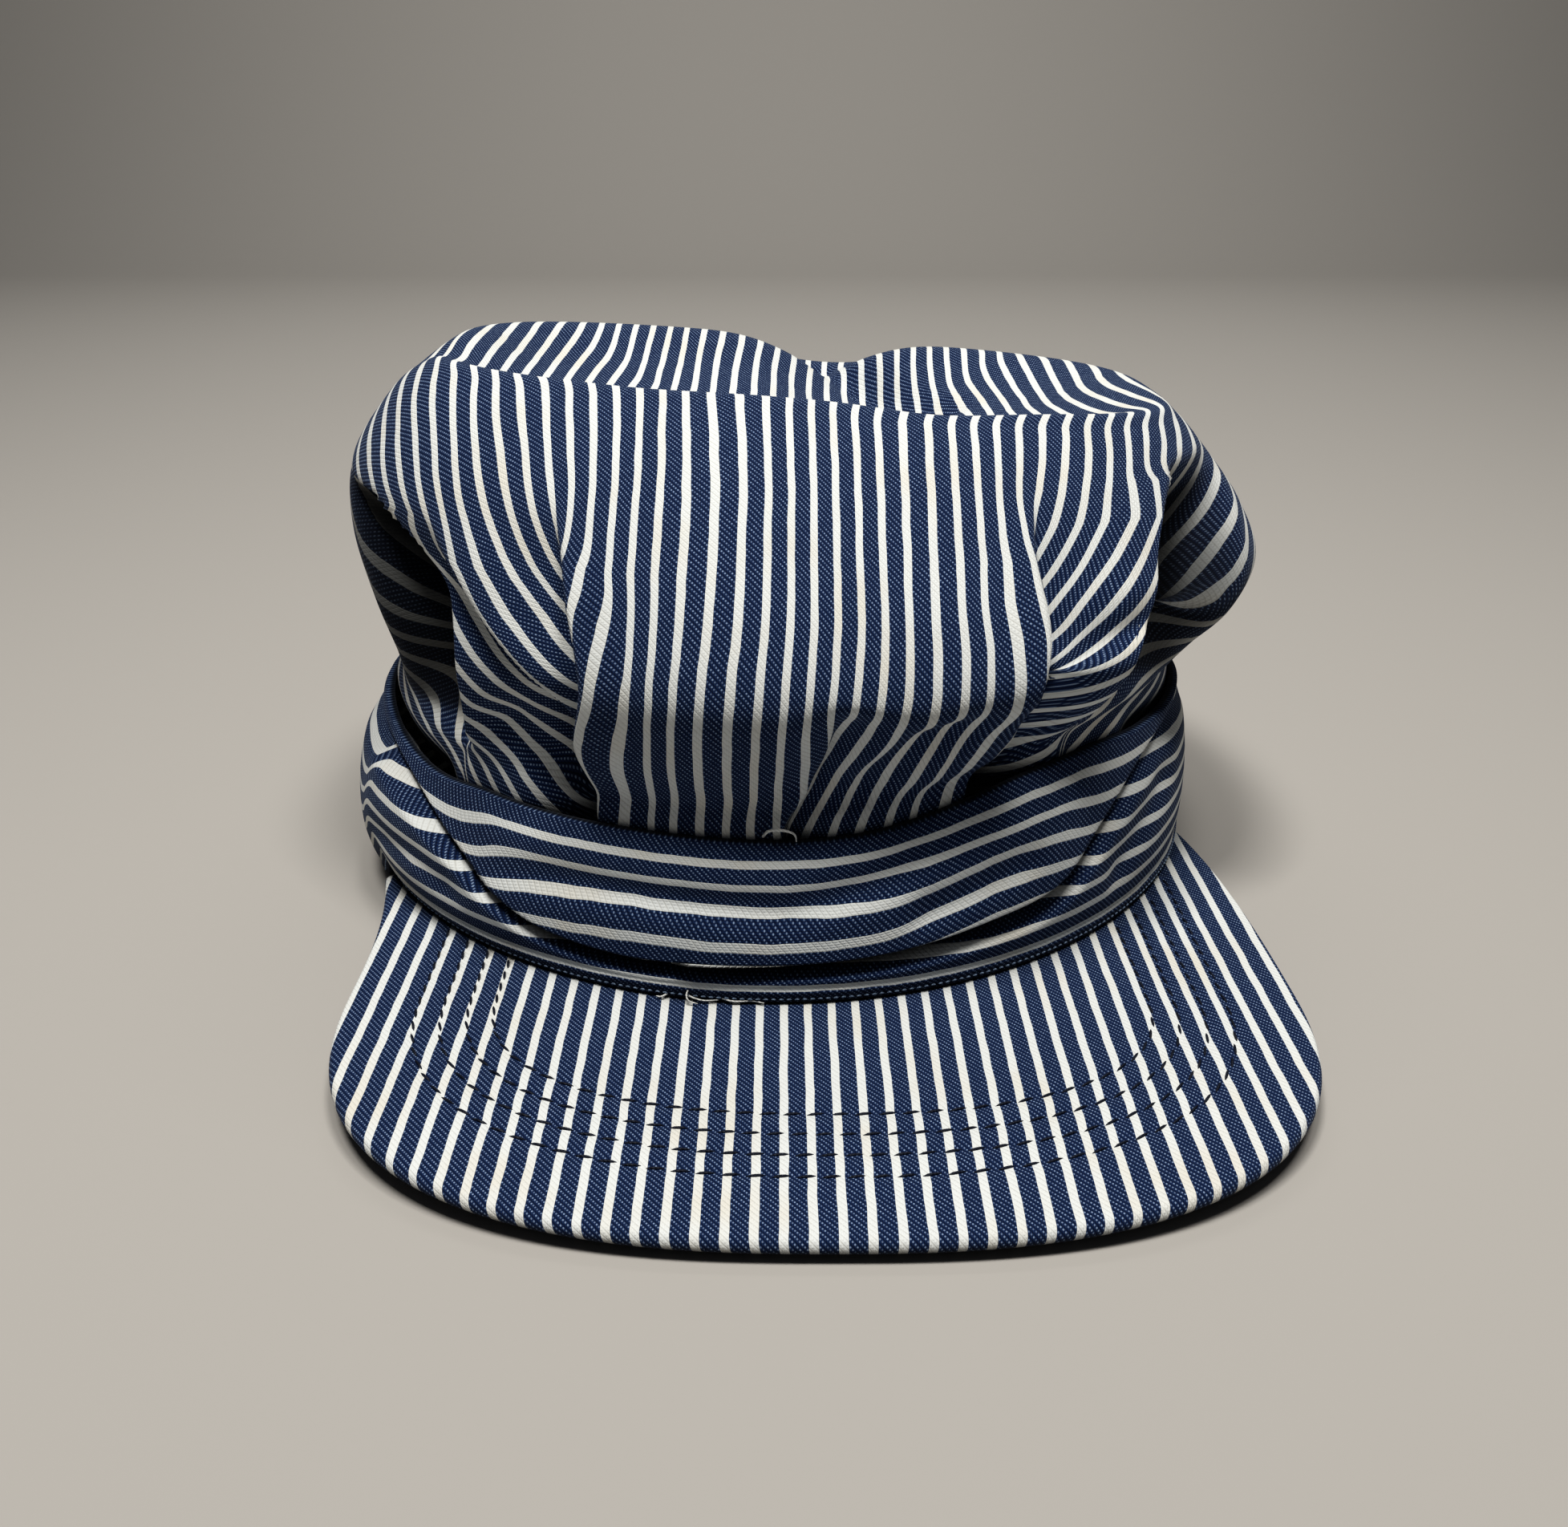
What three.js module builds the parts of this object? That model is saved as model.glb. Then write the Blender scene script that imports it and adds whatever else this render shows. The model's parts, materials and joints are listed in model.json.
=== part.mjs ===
import * as THREE from "three";

// A railroad engineer cap: one round of striped cloth pleated into a crumpled band, with a stiff brim.
// Millimetres, +Z up, the front of the cap towards -Y. It lies on the lower rim of its band.
// Angles go round the cap in degrees: 0 in front, 90 on the +X side, 180 at the back.

// Head opening, over the outside of the band's lower rim
const openingWidth = 198;
const openingDepth = 180;

// Band
const bandHeight = 38; // table to top edge, in front
const bandWall = 2;
const bandClimb = 9; // degrees over which its rim climbs from the table onto the brim
const bandOverBrim = 3; // degrees that the raised rim runs on past the brim's corners

// Brim
const brimWidth = 186;
const brimLength = 66; // seam to front edge
const brimThickness = 3.2;
const brimSeamHeight = 5; // top of the brim at the seam, over the table
const brimDrop = 0.5; // the front edge lies this much lower than the seam
const brimCurl = 3.3; // the side edges lie this much higher than the middle
const brimCornerBack = 57; // seam in front to the corners, where the brim runs out under the band
const brimAside = 10; // its middle lies this far off the cap's, towards +X
const brimTurn = 8; // degrees, its seam reaches this much further round the cap at +X
const brimSquareness = 2.65; // exponent of its outline, 2 is an ellipse
const brimFrontShare = 0.75; // share of the outline that is its front, the rest is its sides
const brimSideBulge = 2.6; // exponent of the sides' curve, 1 is straight

// Crown
const crownHeight = 77; // top edge of the band to the front ridge
const crownWall = 1.6;
const crownTuck = 6; // depth of its foot behind the band's top edge
const crownStand = 4.6; // it stands up this far past that edge before it swells
const crownRoll = 4; // degrees, the crown has slumped towards +X

// Clearance between touching pieces
const gap = 0.3;

// Fineness of the surfaces
const crownColumns = 96;
const crownRows = 20;
const bandColumns = 76;
const bandRows = 8;
const brimColumns = 44;
const brimRows = 6;
const brimEdgeSteps = 3;
const pleatCrowd = 8; // how much closer the crown's columns stand at a pleat
const pleatReach = 8; // degrees to each side over which they do
const pleatPull = 12; // degrees to each side over which columns run along a slanting pleat
const pleatFollow = 0.85; // share of a pleat's length that they run along

const crownCloth = new THREE.MeshStandardMaterial({ color: 0x5a6a8c, roughness: 0.92, metalness: 0 });
const bandCloth = new THREE.MeshStandardMaterial({ color: 0x4c5d82, roughness: 0.92, metalness: 0 });
const brimCloth = new THREE.MeshStandardMaterial({ color: 0x66769a, roughness: 0.9, metalness: 0 });

// The band on its way round: top edge as a share of bandHeight; lean of the top edge and of the lower
// rim inwards and belly of the middle outwards, as shares of the opening's half width.
const bandRounds = [
  { angle: -180, top: 1.05, lean: 0.03, foot: 0, belly: 0.02 },
  { angle: -125, top: 1.1, lean: 0.04, foot: 0.02, belly: 0.04 },
  { angle: -85, top: 1.17, lean: 0.06, foot: 0.03, belly: 0.05 },
  { angle: -52, top: 1.04, lean: 0.07, foot: 0.01, belly: 0.05 },
  { angle: -20, top: 1.0, lean: 0.06, foot: 0, belly: 0.03 },
  { angle: 10, top: 1.0, lean: 0.055, foot: 0, belly: 0.03 },
  { angle: 35, top: 1.22, lean: 0.05, foot: 0, belly: 0.03 },
  { angle: 70, top: 1.27, lean: 0.03, foot: 0, belly: 0.02 },
  { angle: 115, top: 1.15, lean: 0.03, foot: 0, belly: 0.02 },
  { angle: 180, top: 1.05, lean: 0.03, foot: 0, belly: 0.02 },
];

// The crease where the slack upper band hangs over its own lower hem: height as a share of the band,
// depth as a share of bandHeight.
const bandCrease = [
  { angle: -180, height: 0.8, depth: 0 },
  { angle: -105, height: 0.85, depth: 0 },
  { angle: -80, height: 0.88, depth: 0.07 },
  { angle: -56, height: 0.84, depth: 0.15 },
  { angle: -42, height: 0.66, depth: 0.19 },
  { angle: -28, height: 0.34, depth: 0.2 },
  { angle: -8, height: 0.28, depth: 0.2 },
  { angle: 10, height: 0.3, depth: 0.18 },
  { angle: 36, height: 0.38, depth: 0.14 },
  { angle: 44, height: 0.6, depth: 0.13 },
  { angle: 55, height: 0.8, depth: 0.1 },
  { angle: 72, height: 0.9, depth: 0.05 },
  { angle: 90, height: 0.9, depth: 0 },
  { angle: 180, height: 0.8, depth: 0 },
];
const bandCreaseSharp = 0.1; // width of the overhang and of the run-out, shares of bandHeight
const bandCreaseSoft = 0.15;

// The crown from its foot (way 0) over the ridge to the middle of the top (way 1): reach to each side
// as shares of the opening's half width and half depth, height as a share of crownHeight.
const crownRings = [
  { way: 0.0, left: 0.9, right: 0.93, front: 0.91, back: 0.94, height: 0.0, square: 2.0 },
  { way: 0.12, left: 0.89, right: 0.94, front: 0.9, back: 0.98, height: 0.07, square: 2.1 },
  { way: 0.22, left: 0.89, right: 0.99, front: 0.975, back: 1.04, height: 0.23, square: 2.2 },
  { way: 0.32, left: 0.93, right: 1.07, front: 1.02, back: 1.06, height: 0.39, square: 2.1 },
  { way: 0.42, left: 0.97, right: 1.12, front: 0.945, back: 1.04, height: 0.55, square: 2.1 },
  { way: 0.52, left: 0.96, right: 1.08, front: 0.8, back: 0.98, height: 0.71, square: 2.3 },
  { way: 0.6, left: 0.88, right: 1.0, front: 0.64, back: 0.88, height: 0.85, square: 2.7 },
  { way: 0.68, left: 0.79, right: 0.92, front: 0.48, back: 0.74, height: 0.96, square: 3.2 },
  { way: 0.74, left: 0.72, right: 0.86, front: 0.41, back: 0.65, height: 0.99, square: 3.4 },
  { way: 0.82, left: 0.56, right: 0.64, front: 0.33, back: 0.48, height: 0.9, square: 3.0 },
  { way: 0.91, left: 0.28, right: 0.33, front: 0.26, back: 0.12, height: 0.81, square: 2.3 },
  { way: 1.0, left: -0.02, right: 0.02, front: 0.15, back: -0.15, height: 0.78, square: 2.0 },
];

// Ways along the crown
const standWay = 0.1; // where it stops standing up
const freeWays = [0.06, 0.16]; // over which it leaves the line of the band
const levelWays = [0.05, 0.5]; // over which the band's uneven top edge evens out
const slumpWays = [0.15, 0.7]; // over which the slump comes in

// Pleats and hollows that climb the crown: each runs from a low to a high end, given as angle and way.
// The cloth laps over towards the side named by over (1 is towards larger angles), dips under the lap
// and comes back up beyond it. Depth, soft (width of the run-out) and sharp (width of the lap) are
// shares of crownHeight. Fade is the share of its length where a pleat dies out, and a sweep above 1
// keeps its path near the low end's angle for longer.
const crownPleats = [
  { name: "left front", low: [-21, 0], high: [-25, 0.56], over: 1, depth: 0.1, soft: 0.26, sharp: 0.03 },
  { name: "right front", low: [24, 0], high: [23, 0.6], over: -1, depth: 0.1, soft: 0.26, sharp: 0.03 },
  {
    name: "left hollow",
    low: [-46, 0.13],
    high: [-64, 0.51],
    over: 1,
    depth: 0.38,
    soft: 0.42,
    sharp: 0.08,
    fade: 0.14,
    sweep: 12,
  },
  {
    name: "right hollow",
    low: [40, 0.13],
    high: [57, 0.63],
    over: -1,
    depth: 0.48,
    soft: 0.5,
    sharp: 0.08,
    fade: 0.22,
    sweep: 8,
  },
  { name: "left side", low: [-104, 0], high: [-106, 0.42], over: -1, depth: 0.07, soft: 0.2, sharp: 0.03 },
  { name: "right side", low: [104, 0], high: [106, 0.42], over: 1, depth: 0.07, soft: 0.2, sharp: 0.03 },
  { name: "left back", low: [-153, 0], high: [-152, 0.5], over: -1, depth: 0.09, soft: 0.26, sharp: 0.03 },
  { name: "right back", low: [153, 0], high: [152, 0.5], over: 1, depth: 0.09, soft: 0.26, sharp: 0.03 },
];

// Folds that fall slantwise across the crown's front quarters, with the same columns
const crownFalls = [
  {
    name: "left fall",
    low: [-25, 0.1],
    high: [-48, 0.52],
    over: 1,
    depth: 0.09,
    soft: 0.4,
    sharp: 0.07,
    sweep: 1.6,
  },
  { name: "right fall", low: [24, 0.2], high: [41, 0.47], over: -1, depth: 0.05, soft: 0.24, sharp: 0.12 },
];
const foldFade = 0.3; // share of a fold's length over which it starts, and ends where it names no fade
const foldLean = 0.5; // how far a lap hangs over, as a share of its depth,
const leanMost = 3.5; // but no further than this

// Dents across the top, from one plan point to another as shares of the opening's half sizes, with
// depth and width as shares of crownHeight.
const topDents = [
  { name: "notch in the back ridge", from: [0.13, 0.72], to: [0.33, -0.2], depth: 0.09, width: 0.2 },
  { name: "dent behind the front corner", from: [-0.7, 0.05], to: [-0.25, -0.2], depth: 0.05, width: 0.16 },
];
const topFrom = [0.6, 0.7]; // ways over which the dents come in

const degree = Math.PI / 180;
const halfWidth = openingWidth / 2;
const halfDepth = openingDepth / 2;

const mix = (a, b, share) => a + (b - a) * share;

// 0 at from, 1 at to, with a soft start and end
function smooth(from, to, at) {
  const s = Math.min(Math.max((at - from) / (to - from), 0), 1);
  return s * s * (3 - 2 * s);
}

// A smooth curve through one column of a table, at a value of its key column
function along(rows, key, name, at) {
  let k = 0;
  while (k < rows.length - 2 && at > rows[k + 1][key]) k++;
  const slope = (i) => {
    const a = rows[Math.max(i - 1, 0)];
    const b = rows[Math.min(i + 1, rows.length - 1)];
    return (b[name] - a[name]) / (b[key] - a[key]);
  };
  const span = rows[k + 1][key] - rows[k][key];
  const s = Math.min(Math.max((at - rows[k][key]) / span, 0), 1);
  const start = rows[k][name] * (1 + 2 * s) + slope(k) * span * s;
  const end = rows[k + 1][name] * (3 - 2 * s) + slope(k + 1) * span * (s - 1);
  return start * (1 - s) ** 2 + end * s * s;
}

const power = (v, exponent) => Math.sign(v) * Math.abs(v) ** exponent;

// Angle from the middle of the brim's seam to its corners
const cornerAngle = Math.acos(1 - brimCornerBack / halfDepth) / degree;

// Height of the brim's upper side
function brimTop(x, y) {
  const forward = (-halfDepth - y) / brimLength;
  const aside = (x - brimAside) / (brimWidth / 2);
  return brimSeamHeight - brimDrop * forward + brimCurl * aside ** 2;
}

function creaseDip(angle, share) {
  const above = share - along(bandCrease, "angle", "height", angle);
  const dip = above > 0 ? 1 - smooth(0, bandCreaseSharp, above) : 1 - smooth(0, bandCreaseSoft, -above);
  return along(bandCrease, "angle", "depth", angle) * bandHeight * dip;
}

// A point of the band's outside, from its lower rim (share 0, on the table at the sides and back and on
// the brim in front) to its top edge (1), and the direction outwards there
function bandPoint(angle, share) {
  const a = angle * degree;
  const foot = new THREE.Vector3(halfWidth * Math.sin(a), -halfDepth * Math.cos(a), 0);
  const out = new THREE.Vector3(foot.x / halfWidth ** 2, foot.y / halfDepth ** 2, 0).normalize();
  const past = Math.abs(angle - brimTurn) - cornerAngle - bandOverBrim;
  const onBrim = 1 - smooth(0, bandClimb, past);
  const low = onBrim * (brimTop(foot.x, foot.y) + gap);
  const high = bandHeight * along(bandRounds, "angle", "top", angle);
  const lean = along(bandRounds, "angle", "lean", angle) * share ** 1.5;
  const belly = along(bandRounds, "angle", "belly", angle) * 4 * share * (1 - share);
  const tuck = along(bandRounds, "angle", "foot", angle) * (1 - share) ** 2;
  const point = foot.addScaledVector(out, halfWidth * (belly - lean - tuck) - creaseDip(angle, share));
  point.z = mix(low, high, share);
  return { point, out };
}

// The crown without its creases
function crownForm(angle, way) {
  const a = angle * degree;
  const at = (name) => along(crownRings, "way", name, way);
  const e = 2 / at("square");
  const [left, right] = [at("left") * halfWidth, at("right") * halfWidth];
  const [front, back] = [at("front") * halfDepth, at("back") * halfDepth];
  const x = (right - left) / 2 + ((left + right) / 2) * power(Math.sin(a), e);
  const y = (back - front) / 2 - ((back + front) / 2) * power(Math.cos(a), e);
  const edge = bandPoint(angle, 1);
  const top = mix(edge.point.z, bandHeight, smooth(...levelWays, way));
  const slump = Math.tan(crownRoll * degree) * x * smooth(...slumpWays, way);
  const form = new THREE.Vector3(x, y, top + at("height") * crownHeight - slump);
  const creased = creaseDip(angle, 1 - crownTuck / bandHeight) * Math.max(1 - way / standWay, 0);
  const tucked = edge.point.addScaledVector(edge.out, -bandWall - gap - creased);
  tucked.z += mix(-crownTuck, crownStand, way / standWay);
  return tucked.lerp(form, smooth(...freeWays, way));
}

function foldAngle(fold, way) {
  const share = Math.min(Math.max((way - fold.low[1]) / (fold.high[1] - fold.low[1]), 0), 1);
  return mix(fold.low[0], fold.high[0], share ** (fold.sweep ?? 1));
}

const foldMiddle = (fold) => foldAngle(fold, (fold.low[1] + fold.high[1]) / 2);

// How much a fold dips and leans at a way and at a distance across it, in millimetres
function foldAt(fold, across, way) {
  const share = (way - fold.low[1]) / (fold.high[1] - fold.low[1]);
  const starts = fold.low[1] > 0 ? smooth(0, foldFade, share) : 1;
  const strength = starts * (1 - smooth(1 - (fold.fade ?? foldFade), 1, share)) * crownHeight;
  const [sharp, soft] = [fold.sharp * crownHeight, fold.soft * crownHeight];
  const dip = across > 0 ? 1 - smooth(0, sharp, across) : 1 - smooth(0, soft, -across);
  const reach = Math.min(strength * fold.depth * foldLean, leanMost);
  const lean = across > 0 ? smooth(0, sharp, across) * (1 - smooth(sharp, 4 * sharp, across)) : 0;
  return { dip: dip * strength * fold.depth, lean: lean * reach };
}

// How much lower the top lies at a plan point
function topDent(x, y) {
  let total = 0;
  for (const dent of topDents) {
    const from = new THREE.Vector2(dent.from[0] * halfWidth, dent.from[1] * halfDepth);
    const run = new THREE.Vector2(dent.to[0] * halfWidth, dent.to[1] * halfDepth).sub(from);
    const here = new THREE.Vector2(x, y).sub(from);
    const share = Math.min(Math.max(here.dot(run) / run.lengthSq(), 0), 1);
    const across = here.addScaledVector(run, -share).length() / (dent.width * crownHeight);
    total += dent.depth * crownHeight * Math.exp(-(across ** 2));
  }
  return total;
}

// A point of the crown's outside
function crownPoint(angle, way) {
  const point = crownForm(angle, way);
  point.z -= topDent(point.x, point.y) * smooth(...topFrom, way);
  if (way > topFrom[1]) return point;
  const around = crownForm(angle + 0.5, way).sub(crownForm(angle - 0.5, way));
  const perDegree = around.length();
  around.normalize();
  const up = crownForm(angle, way + 0.01).sub(crownForm(angle, way));
  const out = around.clone().cross(up).normalize();
  for (const fold of [...crownPleats, ...crownFalls]) {
    const across = (angle - foldAngle(fold, way)) * perDegree * fold.over;
    const { dip, lean } = foldAt(fold, across, way);
    point.addScaledVector(out, -dip);
    point.addScaledVector(around, -fold.over * lean);
  }
  return point;
}

// Angles of the crown's columns at one way: closer together near the pleats, and running along them
function crownColumnAngles(count) {
  const near = (angle, fold, width) => Math.exp(-(((angle - foldMiddle(fold)) / width) ** 2));
  const total = [0];
  for (let angle = -180; angle < 180; angle++) {
    const crowd = (sum, fold) => sum + pleatCrowd * fold.depth ** 0.5 * near(angle + 0.5, fold, pleatReach);
    total.push(total[total.length - 1] + crownPleats.reduce(crowd, 1));
  }
  const homes = [];
  for (let i = 0, k = 0; i < count; i++) {
    const wanted = (i / count) * total[360];
    while (total[k + 1] < wanted) k++;
    homes.push(k - 180 + (wanted - total[k]) / (total[k + 1] - total[k]));
  }
  return (way) =>
    homes.map((home) =>
      crownPleats.reduce((angle, fold) => {
        const within = Math.min(Math.max(way, fold.low[1]), mix(fold.low[1], fold.high[1], pleatFollow));
        return angle + (foldAngle(fold, within) - foldMiddle(fold)) * near(home, fold, pleatPull);
      }, home),
    );
}

// A closed wall from rows of points round its outside, low row first. A closed top ends in one point;
// a level wall is as thick as this measured across, not square to its slope.
function wall(rows, thickness, { closedTop = false, level = false }) {
  const columns = rows[0].length;
  const rings = rows.length - (closedTop ? 1 : 0);
  const positions = rows.slice(0, rings).flat().flatMap((p) => [...p]);
  if (closedTop) positions.push(...rows[rings][0]);
  const index = [];
  const quad = (a, b, c, d) => index.push(a, b, c, a, c, d);
  const id = (row, column) => row * columns + (column % columns);
  for (let row = 0; row < rings - 1; row++)
    for (let c = 0; c < columns; c++)
      quad(id(row, c), id(row, c + 1), id(row + 1, c + 1), id(row + 1, c));
  if (closedTop)
    for (let c = 0; c < columns; c++) index.push(id(rings - 1, c), id(rings - 1, c + 1), rings * columns);

  const outside = new THREE.BufferGeometry();
  outside.setAttribute("position", new THREE.Float32BufferAttribute(positions, 3));
  outside.setIndex([...index]);
  outside.computeVertexNormals();
  const count = positions.length / 3;
  for (let i = 0; i < count; i++) {
    const normal = new THREE.Vector3().fromBufferAttribute(outside.attributes.normal, i);
    if (level) normal.setZ(0).normalize();
    const point = new THREE.Vector3().fromBufferAttribute(outside.attributes.position, i);
    positions.push(...point.addScaledVector(normal, -thickness));
  }
  const skin = index.length;
  for (let i = 0; i < skin; i += 3) index.push(count + index[i], count + index[i + 2], count + index[i + 1]);
  for (let c = 0; c < columns; c++) {
    quad(count + id(0, c), count + id(0, c + 1), id(0, c + 1), id(0, c));
    const [end, next] = [id(rings - 1, c), id(rings - 1, c + 1)];
    if (!closedTop) quad(end, next, count + next, count + end);
  }
  return solid(positions, index);
}

function solid(positions, index) {
  const geometry = new THREE.BufferGeometry();
  geometry.setAttribute("position", new THREE.Float32BufferAttribute(positions, 3));
  geometry.setIndex(index);
  return geometry;
}

const steps = (count) => Array.from({ length: count }, (unused, i) => i / (count - 1));

function crownGeometry() {
  const anglesAt = crownColumnAngles(crownColumns);
  const rows = steps(crownRows).map((way) => anglesAt(way).map((angle) => crownPoint(angle, way)));
  return wall(rows, crownWall, { closedTop: true });
}

function bandGeometry() {
  const angles = Array.from({ length: bandColumns }, (unused, i) => (i / bandColumns) * 360 - 180);
  const rows = steps(bandRows).map((share) => angles.map((angle) => bandPoint(angle, share).point));
  return wall(rows, bandWall, { level: true });
}

// A point round the opening, from the middle of the brim (0) to its corners (-1 and 1), this far
// outside the band's rim: the brim's inner edge lies under the band, flush with the band's inside
function brimSeam(share, outside) {
  const a = (brimTurn + share * cornerAngle) * degree;
  return new THREE.Vector3((halfWidth + outside) * Math.sin(a), -(halfDepth + outside) * Math.cos(a), 0);
}

// The brim's outline: a squared half ellipse in front of the seam, then sides that run back to the corners
function brimOutline(share) {
  const side = Math.sign(share) || 1;
  const turn = Math.min(Math.abs(share) / brimFrontShare, 1) * 90 * degree;
  const across = (brimWidth / 2) * power(Math.sin(turn), 2 / brimSquareness);
  const forward = brimLength * power(Math.cos(turn), 2 / brimSquareness);
  const back = Math.max(Math.abs(share) - brimFrontShare, 0) / (1 - brimFrontShare);
  const corner = brimSeam(side, bandWall);
  const x = mix(brimAside + side * across, corner.x, back ** brimSideBulge);
  return new THREE.Vector3(x, mix(-halfDepth - forward, corner.y, back), 0);
}

function brimGeometry() {
  const round = brimThickness / 2;
  const columns = steps(brimColumns).map((i) => {
    const inner = brimSeam(2 * i - 1, -bandWall);
    const outer = brimOutline(2 * i - 1);
    const outwards = outer.clone().sub(inner).normalize();
    outer.addScaledVector(outwards, -round);
    const plan = steps(brimRows).map((j) => inner.clone().lerp(outer, j));
    const lift = (p, by) => p.clone().setZ(brimTop(p.x, p.y) + by);
    const top = plan.map((p) => lift(p, 0));
    const under = plan.map((p) => lift(p, -brimThickness)).reverse();
    const edge = steps(brimEdgeSteps + 2).slice(1, -1).map((t) => {
      const q = t * Math.PI;
      return lift(outer, -round + round * Math.cos(q)).addScaledVector(outwards, round * Math.sin(q));
    });
    return [...top, ...edge, ...under];
  });
  const loop = columns[0].length;
  const positions = columns.flat().flatMap((p) => [...p]);
  const index = [];
  for (let i = 0; i < columns.length - 1; i++)
    for (let j = 0; j < loop; j++) {
      const [a, b] = [i * loop + j, i * loop + ((j + 1) % loop)];
      index.push(a, b, b + loop, a, b + loop, a + loop);
    }
  for (const [start, turned] of [[0, false], [(columns.length - 1) * loop, true]])
    for (let j = 1; j < loop - 1; j++) {
      const [b, c] = turned ? [j, j + 1] : [j + 1, j];
      index.push(start, start + b, start + c);
    }
  return solid(positions, index);
}

function piece(name, geometry, cloth) {
  const mesh = new THREE.Mesh(geometry, cloth);
  mesh.name = name;
  return mesh;
}

const cap = new THREE.Group();
cap.name = "engineer_cap";
cap.add(
  piece("crown", crownGeometry(), crownCloth),
  piece("band", bandGeometry(), bandCloth),
  piece("brim", brimGeometry(), brimCloth),
);

// The origin is under the middle of the whole cap, on the table
const box = new THREE.Box3().setFromObject(cap);
cap.position.set(-(box.min.x + box.max.x) / 2, -(box.min.y + box.max.y) / 2, -box.min.z);

export default cap;
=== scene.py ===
import json
import math
import bpy
import numpy as np
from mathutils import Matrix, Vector


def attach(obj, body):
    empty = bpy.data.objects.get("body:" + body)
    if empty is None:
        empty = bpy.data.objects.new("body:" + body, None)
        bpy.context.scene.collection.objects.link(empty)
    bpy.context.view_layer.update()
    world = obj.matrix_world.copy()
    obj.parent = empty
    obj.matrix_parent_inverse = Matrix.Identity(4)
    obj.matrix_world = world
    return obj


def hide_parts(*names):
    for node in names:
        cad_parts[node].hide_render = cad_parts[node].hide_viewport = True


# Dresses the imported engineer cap: fine pleated crown, crumpled band and quilted brim in striped twill.
# Shapes are worked out in millimetres round the middle of the head opening and put into the frame
# at the end. Angles go round the cap in degrees: 0 in front, 90 on the +X side, 180 at the back.

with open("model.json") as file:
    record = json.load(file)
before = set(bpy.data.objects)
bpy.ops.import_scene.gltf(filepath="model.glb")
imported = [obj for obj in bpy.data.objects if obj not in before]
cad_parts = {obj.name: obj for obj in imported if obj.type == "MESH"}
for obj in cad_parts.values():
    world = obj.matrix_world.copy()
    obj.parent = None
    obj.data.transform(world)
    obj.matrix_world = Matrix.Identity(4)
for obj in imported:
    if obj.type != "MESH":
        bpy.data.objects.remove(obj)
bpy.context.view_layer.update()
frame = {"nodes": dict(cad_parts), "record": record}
record = frame["record"]
scene = bpy.context.scene
print("frame loaded:", ", ".join(sorted(frame["nodes"])))

opening = {
    "width": 198,  # over the outside of the band's lower rim
    "depth": 180,
}
halfWidth = opening["width"] / 2
halfDepth = opening["depth"] / 2
gap = 0.3  # mm between pieces that touch
degree = math.pi / 180
leanFades = 4  # times its sharp width, over which the lean of a lap fades out
wrinkleEnds = 0.25  # share of a wrinkle's length over which each end fades


def mix(a, b, share):
    return a + (b - a) * share


def smooth(start, end, at):  # 0 at start, 1 at end, with a soft start and end
    share = np.clip((at - start) / (end - start), 0, 1)
    return share * share * (3 - 2 * share)


def hump(at, width):  # 1 at 0, fading over the width to both sides
    return np.exp(-((at / width) ** 2))


def power(value, exponent):
    return np.sign(value) * np.abs(value) ** exponent


def along(table, name, at):  # a smooth curve through one column of a table, at a value of its key column
    keys, values = np.array(table["at"], float), np.array(table[name], float)
    slopes = np.empty_like(values)
    slopes[1:-1] = (values[2:] - values[:-2]) / (keys[2:] - keys[:-2])
    slopes[[0, -1]] = (np.diff(values) / np.diff(keys))[[0, -1]]
    k = np.clip(np.searchsorted(keys, at, side="right") - 1, 0, len(keys) - 2)
    span = keys[k + 1] - keys[k]
    s = np.clip((at - keys[k]) / span, 0, 1)
    start = values[k] * (1 + 2 * s) + slopes[k] * span * s
    end = values[k + 1] * (3 - 2 * s) + slopes[k + 1] * span * (s - 1)
    return start * (1 - s) ** 2 + end * s * s


# Brim

brim = {
    "width": 186,
    "length": 66,  # seam to front edge
    "thickness": 3.2,
    "seamHeight": 5,  # top of the brim at the seam, over the table
    "drop": 0.5,  # the front edge lies this much lower
    "curl": 3.3,  # the side edges lie this much higher
    "cornerBack": 57,  # corners to the front of the seam
    "aside": 10,  # its middle lies this far towards +X
    "turn": 8,  # degrees, its seam reaches this much further round at +X
    "squareness": 2.65,
    "frontShare": 0.75,  # share of its outline that is the front
    "sideBulge": 2.6,  # more than 1 keeps the sides wide for longer
    "columns": 360,
    "rows": 91,
    "edgeSteps": 8,
    "underStep": 3,  # the underside has every third row
}
cornerAngle = math.acos(1 - brim["cornerBack"] / halfDepth) / degree


def brimTop(x, y):
    forward = (-halfDepth - y) / brim["length"]
    aside = (x - brim["aside"]) / (brim["width"] / 2)
    return brim["seamHeight"] - brim["drop"] * forward + brim["curl"] * aside**2


# Band

band = {
    "height": 38,
    "wall": 2,
    "climb": 9,  # degrees over which its rim climbs from the table onto the brim
    "overBrim": 3,  # degrees that the brim carries it past each corner
    "creaseSharp": 0.1,  # share of the height that the crease takes up above its line,
    "creaseSoft": 0.15,  # and below it
    "sag": 0.45,  # the cloth above the crease hangs down by this share of the crease's depth
    "cut": 40.3,  # mm of cloth from hem to top edge
    "hem": 3,  # mm, turned up and sewn along the lower rim
    "hemRise": 0.5,
    "hemEdge": 0.3,
    "creasedFrom": 3,  # mm, a crease of this depth hides all the spare cloth,
    "creaseTakes": (-0.02, 0.03),  # within these shares of the height round it
    "perDegree": 1.6,
    "columns": 500,
    "rows": 90,
}

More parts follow.
